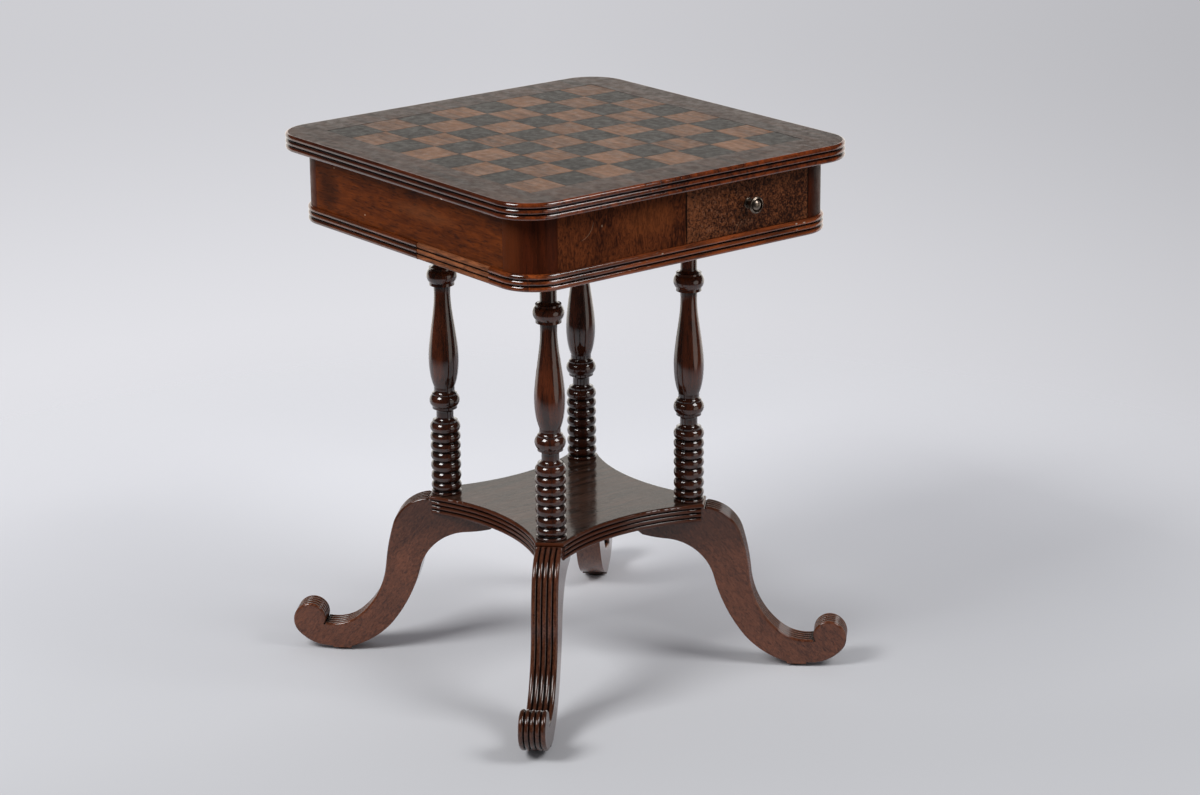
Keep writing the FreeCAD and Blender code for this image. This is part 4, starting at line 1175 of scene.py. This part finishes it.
@dataclass
class Studio:
    """Camera, lamps, surroundings and floor.

    The floor is a round sheet of paper. The surroundings are pale to the eye, a weak even light to
    the wood, and to gloss a dark room with a broad bright paper and a narrow one.
    """

    eye: Triple = (-2.49996, -3.24699, 1.67017)
    azimuth: float = -38.2252
    elevation: float = 17.6495
    roll: float = -0.5077
    sensor_mm: float = 36.0
    lens_mm: float = 96.816
    surround: str = "#e3e3e8"
    horizon: Pair = (-0.3, -0.19)  # heights between which the surroundings dim
    dimmed: float = 0.8  # share of their light that is left above that
    shaded_side: Triple = (0.786, -0.618, 0.0)  # where the eye sees them weaker
    shaded_reach: Pair = (-0.02, 0.18)  # how far that way they start and end to weaken
    shaded: float = 0.8  # share of their light that is left there
    fill: float = 0.45  # even light on the wood
    paper: str = "#ebe6df"
    paper_way: Triple = (0.62, 0.785, 0.0)  # where the broad paper hangs, seen from the table
    paper_reach: Pair = (0.15, 0.42)  # how far that way a reflection goes, from dark to bright
    paper_foot: float = -0.15  # height from which the paper narrows
    paper_slope: float = 1.1  # how fast it narrows
    paper_glow: Pair = (0.04, 1.6)  # beside it and on it
    strip_way: Triple = (0.277, -0.961, 0.0)  # where the narrow paper hangs
    strip_reach: Pair = (0.92, 0.96)  # cosines at which it starts and is full
    strip_glow: float = 1.15
    # painted light: the floor's colour pales from floor_near to floor_far, towards the back
    floor_near: str = "#c1c2c5"
    floor_far: str = "#f4f5f9"
    floor_slope: Triple = (0.461, 0.91, 0.0)  # the way it pales
    floor_reach: Pair = (-0.5, 0.9)  # where the paling starts and ends
    floor_centre: Triple = (0.22, 0.27, 0.0)  # of the floor that light meets; the eye's is the origin
    floor_solid: float = 1.05  # distance from which it thins out
    floor_radius: float = 2.0  # distance at which it is gone
    floor_spare: float = 1.3  # times the radius: the sheet's own, so that its rim is never seen
    floor_sides: int = 96
    early_fade: float = 0.25  # how much sooner the eye sees it thin out
    aim: Triple = (0.0, 0.0, 0.4)
    lamps: list[Softbox] = field(default_factory=lambda: [
        Softbox("left_softbox", azimuth=-90.0, power=88.0),
        Softbox("right_softbox", azimuth=27.0, power=56.0)])

    def build(self) -> None:
        """Make the whole studio."""
        self._camera()
        self._world()
        self._floor()
        for lamp in self.lamps:
            lamp.build(Vector(self.aim))
        bpy.context.scene.view_settings.view_transform = "Standard"
        LOG.info("studio ready")

    def _camera(self) -> None:
        """Place the camera by its angles."""
        back = outwards(self.azimuth, self.elevation)
        around = math.radians(self.azimuth)
        level = Vector((math.cos(around), math.sin(around), 0.0))
        upright = back.cross(level)
        roll = math.radians(self.roll)
        right = level * math.cos(roll) + upright * math.sin(roll)
        up = upright * math.cos(roll) - level * math.sin(roll)
        data = bpy.data.cameras.new("camera")
        data.sensor_fit = "HORIZONTAL"
        data.sensor_width = self.sensor_mm
        data.lens = self.lens_mm
        camera = put("camera", data)
        camera.matrix_world = Matrix.Translation(self.eye) @ Matrix((right, up, back)).transposed().to_4x4()
        bpy.context.scene.camera = camera

    def _world(self) -> None:
        """Light and backdrop from all round, told apart by the kind of ray that meets them."""
        world = bpy.data.worlds.new("studio")
        bpy.context.scene.world = world
        world.use_nodes = True
        tree = world.node_tree
        tree.nodes.clear()
        way = add_node(tree, "ShaderNodeTexCoord", output="Generated")
        path = add_node(tree, "ShaderNodeLightPath").node
        mirrored = add_node(tree, "ShaderNodeMath", {
            0: path.outputs["Is Glossy Ray"], 1: path.outputs["Is Transmission Ray"]}, operation="MAXIMUM")
        light = add_node(tree, "ShaderNodeMix", {0: mirrored, 2: self.fill, 3: self._papers(tree, way)},
                         data_type="FLOAT")
        strength = add_node(tree, "ShaderNodeMix", {
            0: path.outputs["Is Camera Ray"], 2: light, 3: self._backdrop(tree, way)}, data_type="FLOAT")
        tint = add_node(tree, "ShaderNodeMix", {0: mirrored, 6: linear(self.surround), 7: linear(self.paper)},
                        2, data_type="RGBA")
        background = add_node(tree, "ShaderNodeBackground", {"Color": tint, "Strength": strength})
        add_node(tree, "ShaderNodeOutputWorld", {"Surface": background})

    def _papers(self, tree: bpy.types.NodeTree, way: Socket) -> Socket:
        """Light a broad paper that narrows upwards, and an upright strip, for gloss to mirror.

        Args:
            tree: the world's tree.
            way: the direction of the ray.

        Returns:
            The brightness that way.
        """
        facing = add_node(tree, "ShaderNodeVectorMath", {0: way, 1: self.paper_way}, "Value",
                          operation="DOT_PRODUCT")
        height = add_node(tree, "ShaderNodeSeparateXYZ", {0: way}, "Z")
        above = add_node(tree, "ShaderNodeMath", {0: height, 1: -self.paper_foot}, operation="ADD")
        above = add_node(tree, "ShaderNodeMath", {0: above, 1: 0.0}, operation="MAXIMUM")
        inside = add_node(tree, "ShaderNodeMath", {0: above, 1: -self.paper_slope, 2: facing},
                          operation="MULTIPLY_ADD")
        paper = add_node(tree, "ShaderNodeMapRange", {
            "Value": inside, "From Min": self.paper_reach[0], "From Max": self.paper_reach[1],
            "To Min": self.paper_glow[0], "To Max": self.paper_glow[1]}, interpolation_type="SMOOTHSTEP")
        facing = add_node(tree, "ShaderNodeVectorMath", {0: way, 1: self.strip_way}, "Value",
                          operation="DOT_PRODUCT")
        strip = add_node(tree, "ShaderNodeMapRange", {
            "Value": facing, "From Min": self.strip_reach[0], "From Max": self.strip_reach[1],
            "To Max": self.strip_glow}, interpolation_type="SMOOTHSTEP")
        return add_node(tree, "ShaderNodeMath", {0: paper, 1: strip}, operation="ADD")

    def _backdrop(self, tree: bpy.types.NodeTree, way: Socket) -> Socket:
        """Shade what the eye sees round the floor: dimmer above the horizon and towards one side.

        Args:
            tree: the world's tree.
            way: the direction of the ray.

        Returns:
            The brightness that way.
        """
        height = add_node(tree, "ShaderNodeSeparateXYZ", {0: way}, "Z")
        seen = add_node(tree, "ShaderNodeMapRange", {
            "Value": height, "From Min": self.horizon[0], "From Max": self.horizon[1], "To Min": 1.0,
            "To Max": self.dimmed}, interpolation_type="SMOOTHSTEP")
        aside = add_node(tree, "ShaderNodeVectorMath", {0: way, 1: self.shaded_side}, "Value",
                         operation="DOT_PRODUCT")
        shaded = add_node(tree, "ShaderNodeMapRange", {
            "Value": aside, "From Min": self.shaded_reach[0], "From Max": self.shaded_reach[1],
            "To Min": 1.0, "To Max": self.shaded})
        return add_node(tree, "ShaderNodeMath", {0: seen, 1: shaded}, operation="MULTIPLY")

    def _floor(self) -> None:
        """Round pale floor with painted light towards the back, that thins out into the surroundings."""
        mesh = bpy.data.meshes.new("floor")
        shape = bmesh.new()
        bmesh.ops.create_circle(shape, cap_ends=True, segments=self.floor_sides,
                                radius=self.floor_spare * self.floor_radius)
        shape.to_mesh(mesh)
        shape.free()
        material = new_material("matt_paper_floor")
        tree = material.node_tree
        place = add_node(tree, "ShaderNodeTexCoord", output="Object")
        seen = add_node(tree, "ShaderNodeLightPath", output="Is Camera Ray")
        centre = add_node(tree, "ShaderNodeMix", {0: seen, 4: self.floor_centre, 5: (0.0, 0.0, 0.0)}, 1,
                          data_type="VECTOR")
        reach = add_node(tree, "ShaderNodeVectorMath", {0: place, 1: centre}, "Value", operation="DISTANCE")
        reach = add_node(tree, "ShaderNodeMath", {0: seen, 1: self.early_fade, 2: reach},
                         operation="MULTIPLY_ADD")
        thin = add_node(tree, "ShaderNodeMapRange", {
            "Value": reach, "From Min": self.floor_solid, "From Max": self.floor_radius},
            interpolation_type="SMOOTHSTEP")
        # painted light: the floor pales towards the back
        along = add_node(tree, "ShaderNodeVectorMath", {0: place, 1: self.floor_slope}, "Value",
                         operation="DOT_PRODUCT")
        paling = add_node(tree, "ShaderNodeMapRange", {
            "Value": along, "From Min": self.floor_reach[0], "From Max": self.floor_reach[1]},
            interpolation_type="SMOOTHSTEP")
        colour = add_node(tree, "ShaderNodeMix", {
            0: paling, 6: linear(self.floor_near), 7: linear(self.floor_far)}, 2, data_type="RGBA")
        paper = add_node(tree, "ShaderNodeBsdfDiffuse", {"Color": colour})
        clear = add_node(tree, "ShaderNodeBsdfTransparent")
        mixed = add_node(tree, "ShaderNodeMixShader", {0: thin, 1: paper, 2: clear})
        add_node(tree, "ShaderNodeOutputMaterial", {"Surface": mixed})
        mesh.materials.append(material)
        put("floor", mesh)


def main() -> None:
    """Dress the table from its top down, then build the studio."""
    logging.basicConfig(level=logging.INFO, format="%(name)s: %(message)s")
    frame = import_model()
    bench = Bench(frame)
    for assembly in (TableTop(), Frieze(), Drawer("front_drawer"), Drawer("rear_drawer"), Stand(),
                     Screws("top_screws", rows=3), Screws("leg_screws", rows=2)):
        assembly.build(bench)
        LOG.info("%s done", type(assembly).__name__)
    Studio().build()


if __name__ == "__main__":
    main()
